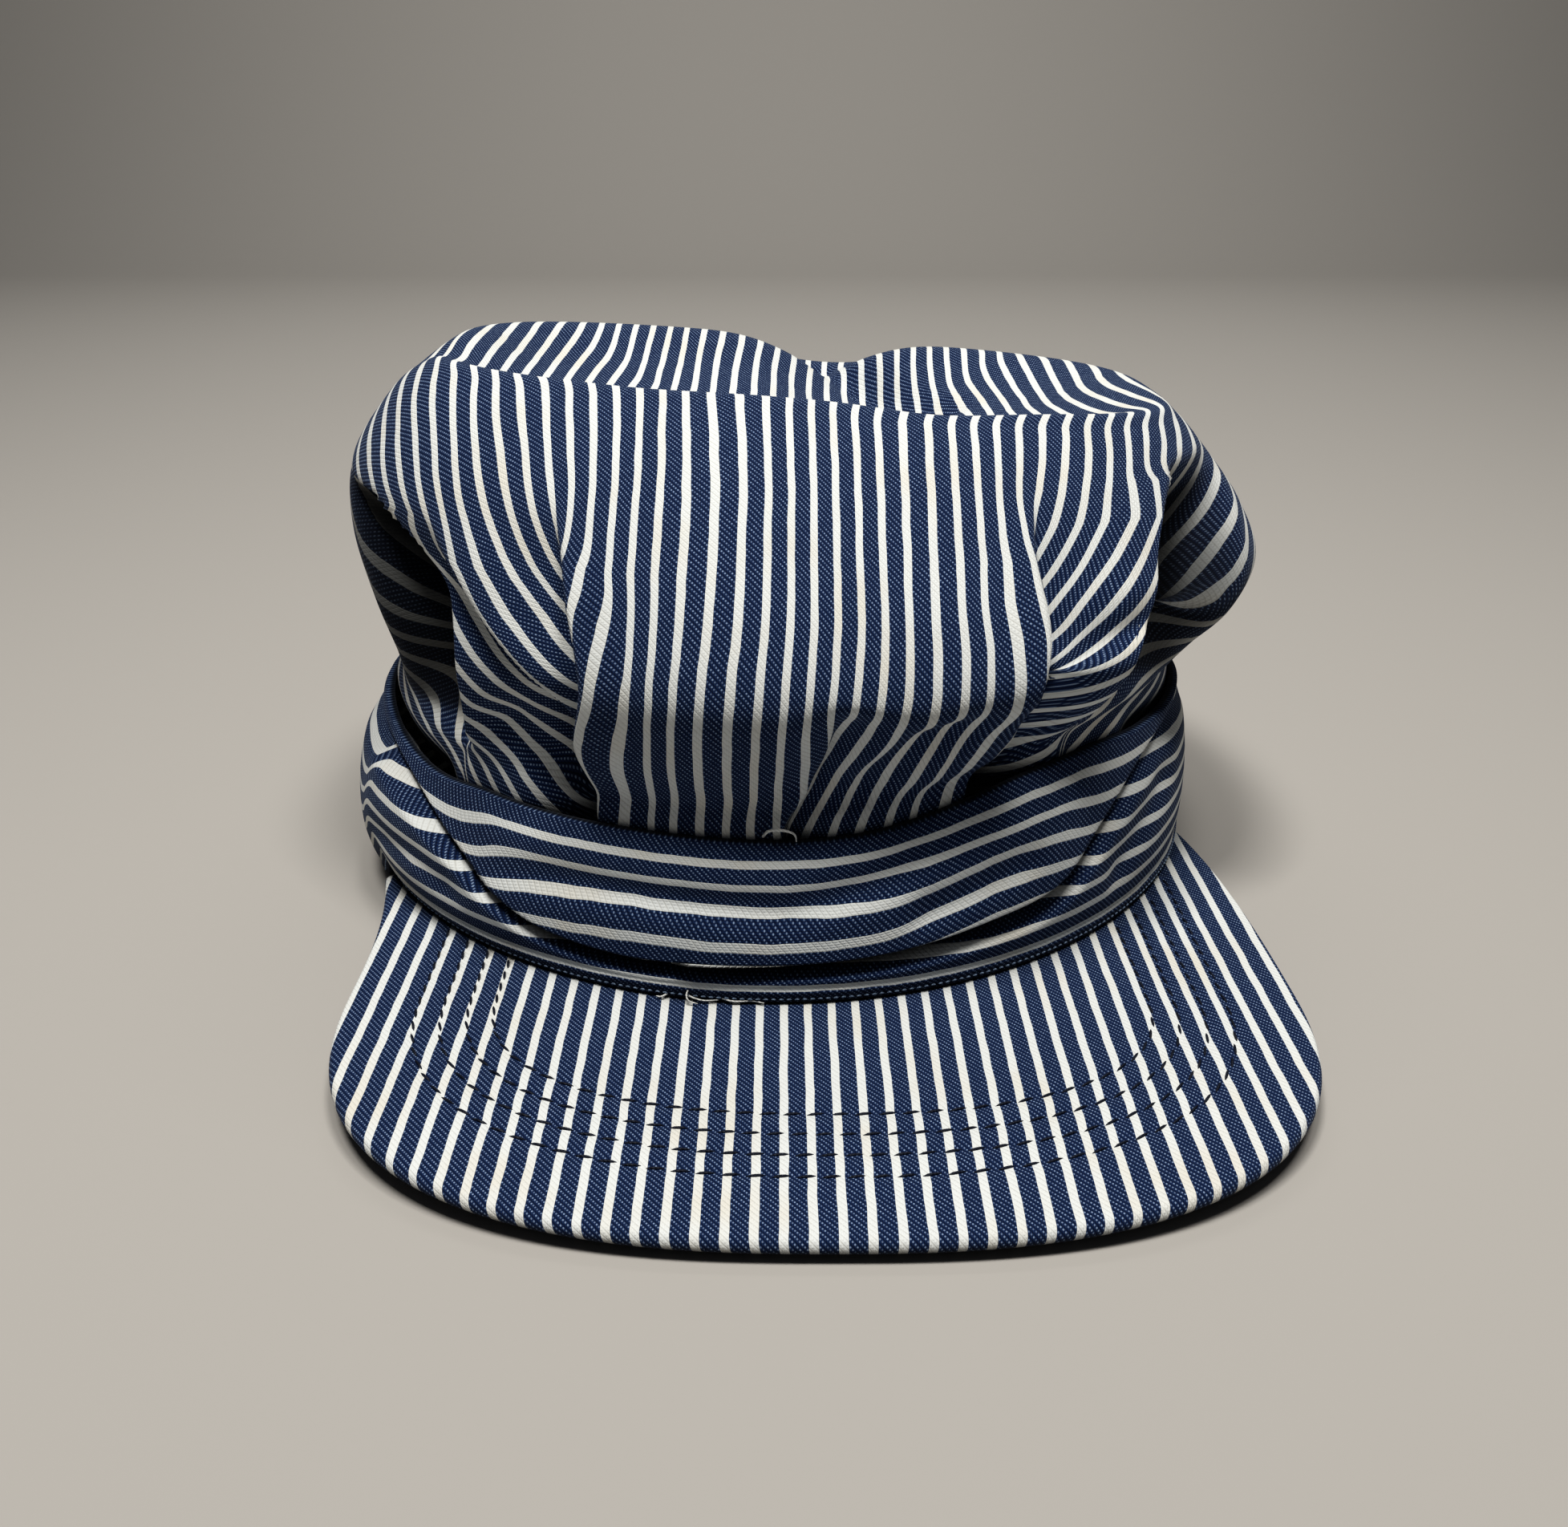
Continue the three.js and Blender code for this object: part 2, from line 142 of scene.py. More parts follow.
bandRounds = {  # top as a share of the height; lean, foot and belly as shares of the half width
    "at": (-180, -125, -85, -52, -20, 10, 35, 70, 115, 180),
    "top": (1.05, 1.1, 1.17, 1.04, 1.0, 1.0, 1.22, 1.27, 1.15, 1.05),
    "lean": (0.03, 0.04, 0.06, 0.07, 0.06, 0.055, 0.05, 0.03, 0.03, 0.03),
    "foot": (0, 0.02, 0.03, 0.01, 0, 0, 0, 0, 0, 0),
    "belly": (0.02, 0.04, 0.05, 0.05, 0.03, 0.03, 0.03, 0.02, 0.02, 0.02),
}

bandCrease = {  # the slack upper band hangs over its own lower hem here
    "at": (-180, -105, -80, -56, -42, -35, -28, -17, -8, 10, 25, 36, 44, 55, 72, 90, 180),
    "height": (
        0.8, 0.85, 0.88, 0.84, 0.66, 0.47, 0.34, 0.27, 0.28, 0.3, 0.33, 0.38, 0.6, 0.8, 0.9, 0.9, 0.8,
    ),
    "depth": (0, 0, 0.07, 0.15, 0.19, 0.2, 0.2, 0.2, 0.2, 0.18, 0.16, 0.14, 0.13, 0.1, 0.05, 0, 0),
}

bandWrinkles = (  # valleys along a path of (angle, share)
    {"path": ((-42, 0.72), (-30, 0.66), (-16, 0.64), (2, 0.62), (10, 0.7), (18, 0.79), (32, 0.74)),
     "depth": 2.2, "narrow": 2.5, "wide": 4.5},
    {"path": ((-66, 0.3), (-50, 0.42), (-38, 0.3)), "depth": 1.5, "narrow": 3, "wide": 5},
    {"path": ((14, 0.5), (24, 0.58), (35, 0.62)), "depth": 1.6, "narrow": 2, "wide": 4},
    {"path": ((44, 0.2), (54, 0.45), (66, 0.7)), "depth": 2, "narrow": 3, "wide": 6},
    {"path": ((-100, 0.25), (-112, 0.5), (-118, 0.8)), "depth": 2.4, "narrow": 3, "wide": 7},
    {"path": ((96, 0.2), (110, 0.55), (128, 0.7)), "depth": 2.4, "narrow": 3, "wide": 7},
    {"path": ((150, 0.5), (172, 0.4), (196, 0.55)), "depth": 1.8, "narrow": 3, "wide": 6},
    {"path": ((-150, 0.7), (-138, 0.4), (-128, 0.3)), "depth": 1.8, "narrow": 3, "wide": 6},
)


def creaseDip(angle, share):
    above = share - along(bandCrease, "height", angle)
    over = 1 - smooth(0, band["creaseSharp"], above)
    under = 1 - smooth(0, band["creaseSoft"], -above)
    return along(bandCrease, "depth", angle) * band["height"] * np.where(above > 0, over, under)


def bandPoint(angle, share, fine=False):
    a = angle * degree
    foot = np.stack([halfWidth * np.sin(a), -halfDepth * np.cos(a)], -1)
    out = foot / np.array([halfWidth**2, halfDepth**2])
    out /= np.linalg.norm(out, axis=-1, keepdims=True)
    past = np.abs(angle - brim["turn"]) - cornerAngle - band["overBrim"]
    onBrim = 1 - smooth(0, band["climb"], past)
    low = onBrim * (brimTop(foot[..., 0], foot[..., 1]) + gap)
    high = band["height"] * along(bandRounds, "top", angle)
    lean = along(bandRounds, "lean", angle) * share**1.5
    belly = along(bandRounds, "belly", angle) * 4 * share * (1 - share)
    tuck = along(bandRounds, "foot", angle) * (1 - share) ** 2
    reach = halfWidth * (belly - lean - tuck) - creaseDip(angle, share)
    rise = mix(low, high, share)
    if fine:
        sharp = band["creaseSharp"]
        above = share - along(bandCrease, "height", angle)
        hangs = smooth(0, sharp, above) * (1 - smooth(sharp, leanFades * sharp, above))
        rise = rise - hangs * along(bandCrease, "depth", angle) * band["height"] * band["sag"]
        reach = reach - wrinkleDip(bandWrinkles, angle, share, band["perDegree"], band["height"])
        inHem = 1 - smooth(band["hem"] - band["hemEdge"], band["hem"], share * (high - low))
        reach = reach + band["hemRise"] * inHem
    plan = foot + out * np.asarray(reach)[..., None]
    return np.concatenate([plan, np.asarray(rise)[..., None]], -1), out


# Crown

crown = {
    "height": 77,  # top edge of the band to the front ridge
    "wall": 1.6,
    "tuck": 6,  # its foot goes this far down inside the band
    "stand": 4.6,  # and it stands this far above the band before it widens
    "roll": 4,  # degrees, it has slumped towards +X
    "standWay": 0.1,
    "freeWays": (0.06, 0.16),  # ways over which it leaves the band's line,
    "levelWays": (0.05, 0.5),  # evens out the band's uneven edge,
    "slumpWays": (0.15, 0.7),  # takes up the slump
    "dentWays": (0.6, 0.7),  # and the dents of the top
    "foldFade": 0.3,  # share of its length over which a fold begins
    "foldLean": 0.5,  # a lap reaches this share of its depth over the dip,
    "leanMost": 3.5,  # but no more than these mm
    "plainHollow": 0.2,  # the cloth is laid out over hollows of this share of their depth
    "shadedFrom": (-1.5, 0),  # degrees beyond a hollow's edge where its shade begins,
    "shadedTo": (14, 33),  # and where it fades out
    "shadedStrength": 0.35,  # a fold of this strength has its full shade
    "gather": 1.5,  # more than 1 gathers the cloth more towards the foot of a pleat
    "perDegree": 1.6,  # mm round the front for a degree
    "perWay": 145,  # mm up the front for the whole way
    "columns": 520,
    "rows": 130,
    "pleatCrowd": 8,
    "pleatReach": 8,  # degrees to each side over which columns crowd at a pleat,
    "pleatPull": 12,  # and over which they follow its slant
    "pleatFollow": 0.85,  # share of a pleat's length that the columns run along
}

crownRings = {  # from the foot (0) over the ridge to the middle of the top (1)
    "at": (0.0, 0.12, 0.22, 0.32, 0.42, 0.52, 0.6, 0.68, 0.74, 0.82, 0.91, 1.0),
    "left": (0.9, 0.89, 0.89, 0.93, 0.97, 0.96, 0.88, 0.79, 0.72, 0.56, 0.28, -0.02),
    "right": (0.93, 0.94, 0.99, 1.07, 1.12, 1.08, 1.0, 0.92, 0.86, 0.64, 0.33, 0.02),
    "front": (0.91, 0.9, 0.975, 1.02, 0.945, 0.8, 0.64, 0.48, 0.41, 0.33, 0.26, 0.15),
    "back": (0.94, 0.98, 1.04, 1.06, 1.04, 0.98, 0.88, 0.74, 0.65, 0.48, 0.12, -0.15),
    "height": (0.0, 0.07, 0.23, 0.39, 0.55, 0.71, 0.85, 0.96, 0.99, 0.9, 0.81, 0.78),
    "square": (2.0, 2.1, 2.2, 2.1, 2.1, 2.3, 2.7, 3.2, 3.4, 3.0, 2.3, 2.0),
}


def fold(low, high, over, depth, soft, sharp, hides=0.0, fade=0.3, sweep=1.0):
    return dict(low=low, high=high, over=over, depth=depth, soft=soft, sharp=sharp, hides=hides, fade=fade,
                sweep=sweep)


# Pleats and hollows from their low to their high end (angle, way). Over is the side, 1 or -1, that the
# cloth laps to. It dips under the lap and comes back up. Depth, soft and sharp are shares of the crown's
# height, hides is the mm of cloth hidden in the pleat at its foot, and fade the share of its length where
# it dies out. With a larger sweep it turns later from its low to its high angle.
crownPleats = {
    "leftFront": fold((-21, 0), (-25, 0.56), 1, 0.1, 0.26, 0.03, 68),
    "rightFront": fold((24, 0), (23, 0.6), -1, 0.1, 0.26, 0.03, 70),
    "leftHollow": fold((-46, 0.13), (-64, 0.51), 1, 0.38, 0.42, 0.06, 10, 0.14, 12),
    "rightHollow": fold((40, 0.13), (57, 0.63), -1, 0.48, 0.5, 0.06, 10, 0.22, 8),
    "leftSide": fold((-104, 0), (-106, 0.42), -1, 0.07, 0.2, 0.03, 80),
    "rightSide": fold((104, 0), (106, 0.42), 1, 0.07, 0.2, 0.03, 80),
    "leftBack": fold((-153, 0), (-152, 0.5), -1, 0.09, 0.26, 0.03, 80),
    "rightBack": fold((153, 0), (152, 0.5), 1, 0.09, 0.26, 0.03, 80),
    "frontTuck": fold((1.5, 0), (3.5, 0.33), -1, 0.03, 0.12, 0.03, 16),
}

hollows = ("leftHollow", "rightHollow")

crownFalls = {  # folds that fall slantwise across the front quarters
    "leftFall": fold((-25, 0.1), (-48, 0.52), 1, 0.09, 0.4, 0.07, sweep=1.6),
    "rightFall": fold((24, 0.2), (37, 0.47), -1, 0.04, 0.26, 0.16),
}

crownWrinkles = (  # valleys along a path of (angle, way); depth and widths in mm, the wide side on its left
    {"path": ((4.5, 0.33), (2.4, 0.24), (0.8, 0.12)), "depth": 2.6, "narrow": 4, "wide": 8},
    {"path": ((21, 0.28), (12.1, 0.246), (9, 0.185), (6.5, 0.1)), "depth": 3, "narrow": 4, "wide": 8},
    {"path": ((-42, 0.23), (-33, 0.16), (-22, 0.11)), "depth": 3, "narrow": 5, "wide": 8},
    {"path": ((36, 0.36), (31, 0.42), (23, 0.4)), "depth": 1.3, "narrow": 7, "wide": 13},
)

topDents = (  # across the top, plan points as shares of the half sizes, depth and width of the height
    {"start": (0.13, 0.72), "end": (0.33, -0.2), "depth": 0.09, "width": 0.2},
    {"start": (-0.7, 0.05), "end": (-0.25, -0.2), "depth": 0.05, "width": 0.16},
    {"start": (0.12, 0.7), "end": (0.42, 0.3), "depth": 0.045, "width": 0.06},
)


def crownForm(angle, way):  # the crown without its creases, for all the angles of one row
    a = angle * degree
    names = ("left", "right", "front", "back", "height", "square")
    left, right, front, back, height, square = (float(along(crownRings, name, way)) for name in names)
    e = 2 / square
    x = halfWidth * ((right - left) / 2 + (left + right) / 2 * power(np.sin(a), e))
    y = halfDepth * ((back - front) / 2 - (back + front) / 2 * power(np.cos(a), e))
    edge, out = bandPoint(angle, 1)
    top = mix(edge[..., 2], band["height"], smooth(*crown["levelWays"], way))
    slump = math.tan(crown["roll"] * degree) * x * smooth(*crown["slumpWays"], way)
    form = np.stack([x, y, top + height * crown["height"] - slump], -1)
    tucked = edge.copy()
    creased = creaseDip(angle, 1 - crown["tuck"] / band["height"]) * max(1 - way / crown["standWay"], 0)
    tucked[..., :2] -= out * (band["wall"] + gap + creased[..., None])
    tucked[..., 2] += mix(-crown["tuck"], crown["stand"], way / crown["standWay"])
    return mix(tucked, form, smooth(*crown["freeWays"], way))


def foldAngle(f, way):
    share = (way - f["low"][1]) / (f["high"][1] - f["low"][1])
    return mix(f["low"][0], f["high"][0], min(max(share, 0), 1) ** f["sweep"])


def wrinkleDip(wrinkles, angle, rise, perDegree, perRise):  # mm, summed over soft valleys along paths
    here = np.stack([angle * perDegree, np.broadcast_to(rise * perRise, np.shape(angle))], -1)
    total = np.zeros(np.shape(angle))
    for w in wrinkles:
        path = np.array(w["path"], float) * (perDegree, perRise)
        nearest = np.full(np.shape(angle), 1e9)
        dip = np.zeros(np.shape(angle))
        for k in range(len(path) - 1):
            run = path[k + 1] - path[k]
            share = np.clip((here - path[k]) @ run / (run @ run), 0, 1)
            off = here - path[k] - share[..., None] * run
            distance = np.linalg.norm(off, axis=-1)
            onLeft = run[0] * off[..., 1] - run[1] * off[..., 0] > 0
            lengthwise = (k + share) / (len(path) - 1)
            ends = smooth(0, wrinkleEnds, lengthwise) * (1 - smooth(1 - wrinkleEnds, 1, lengthwise))
            value = w["depth"] * ends * hump(distance, np.where(onLeft, w["wide"], w["narrow"]))
            dip = np.where(distance < nearest, value, dip)
            nearest = np.minimum(distance, nearest)
        total += dip
    return total


def foldStrength(f, way):
    share = (way - f["low"][1]) / (f["high"][1] - f["low"][1])
    starts = smooth(0, crown["foldFade"], share) if f["low"][1] > 0 else 1
    return starts * (1 - smooth(1 - f["fade"], 1, share))


def foldAt(f, across, way):
    strength = foldStrength(f, way) * crown["height"] * f["depth"]
    sharp, soft = f["sharp"] * crown["height"], f["soft"] * crown["height"]
    dip = np.where(across > 0, 1 - smooth(0, sharp, across), 1 - smooth(0, soft, -across))
    lean = smooth(0, sharp, across) * (1 - smooth(sharp, leanFades * sharp, across))
    return dip * strength, lean * min(strength * crown["foldLean"], crown["leanMost"])


def topDent(x, y):
    total = 0
    for dent in topDents:
        start = np.array(dent["start"]) * (halfWidth, halfDepth)
        run = np.array(dent["end"]) * (halfWidth, halfDepth) - start
        here = np.stack([x, y], -1) - start
        share = np.clip(here @ run / (run @ run), 0, 1)
        across = np.linalg.norm(here - share[..., None] * run, axis=-1)
        total = total + dent["depth"] * crown["height"] * hump(across, dent["width"] * crown["height"])
    return total


def crownRow(angle, way, plain=False):  # plain: shallow hollows, no overlaps and no small wrinkles
    point = crownForm(angle, way)
    point[..., 2] -= topDent(point[..., 0], point[..., 1]) * smooth(*crown["dentWays"], way)
    if way > crown["dentWays"][1]:
        return point
    around = crownForm(angle + 0.5, way) - crownForm(angle - 0.5, way)
    perDegree = np.linalg.norm(around, axis=-1, keepdims=True)
    around /= perDegree
    out = np.cross(around, crownForm(angle, way + 0.01) - crownForm(angle, way))
    out /= np.linalg.norm(out, axis=-1, keepdims=True)
    for name, f in [*crownPleats.items(), *crownFalls.items()]:
        across = (angle - foldAngle(f, way)) * perDegree[..., 0] * f["over"]
        dip, lean = foldAt(f, across, way)
        if plain:
            dip, lean = dip * (crown["plainHollow"] if name in hollows else 1), lean * 0
        point = point - out * dip[..., None] - around * (f["over"] * lean)[..., None]
    if plain:
        return point
    small = wrinkleDip(crownWrinkles, angle, way, crown["perDegree"], crown["perWay"])
    return point - out * small[..., None]


def turned(angle, exponent):  # from the angle of a squarish ring to its bearing, or back with 1 / exponent
    a = np.asarray(angle) * degree
    return np.arctan2(power(np.sin(a), exponent), power(np.cos(a), exponent)) / degree


def foldBearings(f, ways):
    squares = along(crownRings, "square", ways)
    return np.array([float(turned(foldAngle(f, way), 2 / square)) for way, square in zip(ways, squares)])


def columnAngles(count, ways):  # columns keep their bearing, crowd at the pleats and run along them
    at = np.arange(-180, 180) + 0.5
    crowd = np.ones(360)
    homes = []
    for f in crownPleats.values():
        within = np.clip(ways, f["low"][1], mix(f["low"][1], f["high"][1], crown["pleatFollow"]))
        bearings = foldBearings(f, within)
        home = bearings[: max(1, round(len(ways) * f["high"][1]))].mean()
        homes.append((home, bearings))
        crowd += crown["pleatCrowd"] * f["depth"] ** 0.5 * hump(at - home, crown["pleatReach"])
    total = np.concatenate([[0], np.cumsum(crowd)])
    columns = np.interp(np.arange(count) / count * total[-1], total, np.arange(-180, 181))
    rows = []
    for r, way in enumerate(ways):
        bearing = columns.copy()
        for home, bearings in homes:
            bearing += (bearings[r] - home) * hump(columns - home, crown["pleatPull"])
        angle = turned(bearing, float(along(crownRings, "square", way)) / 2)
        rows.append(angle - 360 * np.round((angle - bearing) / 360))
    return np.stack(rows)


# Where each point of the crown lies on the flat round of cloth that it was cut from. A first guess keeps
# distances down each column and round each row. Then the flat cloth is eased, coarsely and finely, until
# its short distances nearly agree with the crown's. The pleats hide cloth, and the sides give way first.
easing = {
    "slackFrom": (22, 55),  # degrees to each side over which the guess takes up what is left of a turn
    "giveFrom": (50, 90),  # degrees over which the cloth becomes easier to stretch
    "give": 0.35,
    "levels": ((8, 4, 500), (4, 2, 700), (2, 1, 250), (1, 1, 120)),  # columns and rows skipped, and rounds
    "push": 1.6,  # times the mean pull, moved in each round
    "calm": 45,  # rounds
    "calmStep": 0.2,
    "hiddenAt": 0.4,  # degrees under a pleat's lap, where its hidden cloth lies
    "hiddenOver": 0.5,  # degrees that it is spread over
    "joinedTo": 0.02,  # columns count as joined with up to these mm hidden between them
}


def hiddenCloth(angles, ways):  # mm hidden between each column and the next
    hidden = np.zeros_like(angles)
    for r, way in enumerate(ways):
        between = angles[r] + np.mod(np.roll(angles[r], -1) - angles[r], 360) / 2
        for f in crownPleats.values():
            centre = foldAngle(f, way) + easing["hiddenAt"] * f["over"]
            spread = hump(between - centre, easing["hiddenOver"])
            share = max(0, 1 - way / f["high"][1]) ** crown["gather"]
            hidden[r] += spread / spread.sum() * f["hides"] * share
    return hidden


def guessFlat(points, angles, hidden):
    down = np.linalg.norm(np.diff(points, axis=0), axis=-1)
    reach = np.concatenate([np.cumsum(down[::-1], axis=0)[::-1], np.zeros((1, angles.shape[1]))])
    nextReach = np.roll(reach, -1, axis=1)
    step = np.linalg.norm(np.roll(points, -1, axis=1) - points, axis=-1)
    across = np.sqrt(np.maximum(step**2 - (nextReach - reach) ** 2, 0))
    spread = (across[:-1] + hidden[:-1]) * 2 / (reach[:-1] + nextReach[:-1])
    between = angles + np.mod(np.roll(angles, -1, axis=1) - angles, 360) / 2
    slack = smooth(*easing["slackFrom"], np.abs(between[:-1])) * spread
    spread += slack * ((2 * math.pi - spread.sum(1)) / slack.sum(1))[:, None]
    turn = np.concatenate([np.cumsum(spread, axis=1) - spread, angles[-1:] * degree])
    for r in range(len(turn) - 1):
        turn[r] -= np.interp(0, angles[r], turn[r])
    return np.stack([reach * np.sin(turn), -reach * np.cos(turn)], -1)


def easeFlat(flat, points, hidden, hold, rounds):
    rows = len(flat)
    neighbours = []
    for down, side in ((0, 1), (1, 0), (1, 1), (1, -1)):
        other = np.roll(points, -side, axis=1)[down:]
        rest = np.linalg.norm(other - points[: rows - down], axis=-1)
        firm = hold[: rows - down]
        if not down:
            rest = rest + hidden
        elif side:  # nothing crosses a pleat slantwise
            between = hidden if side > 0 else np.roll(hidden, 1, axis=1)
            firm = firm * (between[:-1] <= easing["joinedTo"])
        neighbours.append((down, side, rest, firm))
    for _ in range(rounds):
        move, count = np.zeros_like(flat), np.full(flat.shape[:2], 1e-6)
        for down, side, rest, firm in neighbours:
            run = np.roll(flat, -side, axis=1)[down:] - flat[: rows - down]
            length = np.sqrt((run**2).sum(-1)) + 1e-9
            pull = run * (firm * (length - rest) / length / 2)[..., None]
            move[: rows - down] += pull
            count[: rows - down] += firm
            move[down:] -= np.roll(pull, side, axis=1)
            count[down:] += np.roll(firm, side, axis=1)
        flat = flat + easing["push"] * move / count[..., None]
        flat[-1] = flat[-1].mean(0)
    return flat


def calmFlat(flat, hidden):  # evens out small crossings of the cloth's lines
    joins = hidden < easing["joinedTo"]
    within = (np.roll(joins, 1, axis=1) & joins)[..., None]
    for _ in range(easing["calm"]):
        move = (np.roll(flat, 1, axis=1) + np.roll(flat, -1, axis=1) - 2 * flat) * within
        move[1:-1] += flat[2:] + flat[:-2] - 2 * flat[1:-1]
        flat = flat + easing["calmStep"] * move
        flat[-1] = flat[-1].mean(0)
    return flat


def flatRound(points, angles, ways):
    hidden = hiddenCloth(angles, ways)
    flat = guessFlat(points, angles, hidden)
    hold = 1 - (1 - easing["give"]) * smooth(*easing["giveFrom"], np.abs(angles))
    for skip, skipRows, rounds in easing["levels"]:
        pick = np.s_[::skipRows, ::skip]
        hiddenHere = hidden.reshape(hidden.shape[0], -1, skip).sum(-1)[::skipRows]
        eased = easeFlat(flat[pick], points[pick], hiddenHere, hold[pick], rounds) - flat[pick]
        across = np.arange(flat.shape[1]) / skip  # the coarse moves, spread over all columns and rows
        low = np.floor(across).astype(int)
        share = (across - low)[:, None]
        eased = eased[:, low] * (1 - share) + eased[:, (low + 1) % eased.shape[1]] * share
        down = np.arange(len(ways)) / skipRows
        low = np.minimum(np.floor(down).astype(int), len(eased) - 1)
        share = (down - low)[:, None, None]
        flat = flat + eased[low] * (1 - share) + eased[np.minimum(low + 1, len(eased) - 1)] * share
    return calmFlat(flat, hidden)


# Meshes

rim = record["mounts"][0]["pos_m"]  # under the back of the band's rim
middle = Vector((rim[0], rim[1] - (halfDepth - band["wall"] / 2) / 1000, 0))


def makePiece(name, points, faces, cloth, material, replaced=None):
    mesh = bpy.data.meshes.new(name)
    mesh.from_pydata((np.asarray(points) / 1000 + np.array(middle)).tolist(), [], faces)
    mesh.attributes.new("cloth", "FLOAT_VECTOR", "POINT")
    flat = np.zeros((len(points), 3), np.float32)
    flat[:, : cloth.shape[1]] = cloth
    mesh.attributes["cloth"].data.foreach_set("vector", flat.ravel())
    mesh.materials.append(material)
    mesh.shade_smooth()
    piece = bpy.data.objects.new(name, mesh)
    scene.collection.objects.link(piece)
    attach(piece, "root")
    if replaced:
        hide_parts(replaced)
    return piece


def gridNormals(points, level=False):  # of a grid that closes round its columns
    around = np.roll(points, -1, axis=1) - np.roll(points, 1, axis=1)
    normal = np.cross(around, np.gradient(points, axis=0))
    if level:
        normal[..., 2] = 0
    length = np.linalg.norm(normal, axis=-1, keepdims=True)
    return normal / np.maximum(length, 1e-9)


def ringFaces(start, rows, columns, flip=False):  # quads of a grid that closes round its columns
    r, c = np.meshgrid(np.arange(rows - 1), np.arange(columns), indexing="ij")
    here, beside = r * columns + c, r * columns + (c + 1) % columns
    quads = np.stack([here, beside, beside + columns, here + columns], -1).reshape(-1, 4) + start
    return (quads[:, ::-1] if flip else quads).tolist()


def tubeMesh(rings):  # rings of points joined to a closed tube
    count, around = rings.shape[:2]
    faces = ringFaces(0, count, around)
    faces.append(list(range(around))[::-1])
    faces.append([(count - 1) * around + i for i in range(around)])
    return rings.reshape(-1, 3), faces


def clothWall(name, outside, cloth, thickness, material, node, closedTop, level=False):
    rows, columns = outside.shape[:2]  # the inside has every second row and column only
    inside = (outside - gridNormals(outside, level) * thickness)[::2, ::2]
    if closedTop:
        inside[-1] = outside[-1, 0] - np.array([0, 0, thickness])
    innerRows, innerColumns = inside.shape[:2]
    points = np.concatenate([outside.reshape(-1, 3), inside.reshape(-1, 3)])
    flat = np.concatenate([part.reshape(-1, cloth.shape[-1]) for part in (cloth, cloth[::2, ::2])])
    start = rows * columns
    faces = ringFaces(0, rows, columns) + ringFaces(start, innerRows, innerColumns, flip=True)
    ends = [(0, 0, False)] if closedTop else [(0, 0, False), (rows - 1, innerRows - 1, True)]
    for outerRow, innerRow, flip in ends:
        for i in range(innerColumns):
            o = outerRow * columns + 2 * i
            first, second, third = o, o + 1, outerRow * columns + (2 * i + 2) % columns
            a = start + innerRow * innerColumns + i
            b = start + innerRow * innerColumns + (i + 1) % innerColumns
            for face in ([a, second, first], [a, b, third, second]):
                faces.append(face[::-1] if flip else face)
    return makePiece(name, points, faces, flat, material, node)


def hollowShade(angle, way):  # 1 deep in the two hollows, where little light comes
    shade = np.zeros_like(angle)
    for name in hollows:
        f = crownPleats[name]
        beyond = (foldAngle(f, way) - angle) * f["over"]
        reach = (1 - smooth(*crown["shadedTo"], beyond)) * smooth(*crown["shadedFrom"], beyond)
        shade = np.maximum(shade, reach * smooth(0, crown["shadedStrength"], foldStrength(f, way)))
    return shade


def makeCrown(material):
    ways = np.linspace(0, 1, crown["rows"] + 1)
    angles = columnAngles(crown["columns"], ways)
    points = np.stack([crownRow(angles[r], way) for r, way in enumerate(ways)])
    plain = np.stack([crownRow(angles[r], way, True) for r, way in enumerate(ways)])
    # painted shade for the two hollows, kept as the third part of the cloth attribute
    shaded = np.stack([hollowShade(angles[r], way) for r, way in enumerate(ways)])
    cloth = np.concatenate([flatRound(plain, angles, ways), shaded[..., None]], -1)
    piece = clothWall("crown_cloth", points, cloth, crown["wall"], material, "crown", True)
    print("crown:", len(piece.data.polygons), "faces")


def bandCloth(angles, shares):  # mm up from the hem, and round the band; the crease hides what is spare
    plain = np.stack([bandPoint(angles, share)[0] for share in shares])
    depth = along(bandCrease, "depth", angles) * band["height"]
    crease = along(bandCrease, "height", angles)
    tall = (plain[-1] - plain[0])[:, 2]
    whole = tall * (1 + 2 * along(bandRounds, "belly", angles))
    creased = smooth(0, band["creasedFrom"], depth)
    scale = mix(band["cut"] / whole, np.minimum(1, band["cut"] / whole), creased)
    spare = band["cut"] - whole * scale
    run = np.linalg.norm(np.roll(plain[0], -1, axis=0) - plain[0], axis=-1)
    run = np.cumsum(run) - run
    taken = smooth(*band["creaseTakes"], shares[:, None] - crease)
    up = shares[:, None] * whole * scale + spare * taken
    return np.stack([up, np.broadcast_to(run, up.shape)], -1)


def makeBand(material):
    angles = np.arange(band["columns"]) / band["columns"] * 360 - 180
    shares = np.linspace(0, 1, band["rows"] + 1)
    points = np.stack([bandPoint(angles, share, True)[0] for share in shares])
    cloth = bandCloth(angles, shares)
    clothWall("band_cloth", points, cloth, band["wall"], material, "band", False, True)
    print("band: hem, crease and", len(bandWrinkles), "wrinkles")


brimStitching = {
    "rows": 4,
    "frontInset": 15.5,  # mm, outermost row to the front edge
    "frontStep": 5.4,
    "sideInset": 14,
    "sideStep": 4.9,
    "squareness": 2.5,
    "sink": 0.35,  # the rows are drawn in by this much
    "sinkWidth": 1.3,
    "length": 3.3,
    "space": 0.9,
    "thread": 0.5,  # diameter
    "slant": 0.25,  # mm to one side at one end and back at the other
}


def brimSeam(share, outside):
    a = (brim["turn"] + share * cornerAngle) * degree
    return np.array([(halfWidth + outside) * math.sin(a), -(halfDepth + outside) * math.cos(a)])


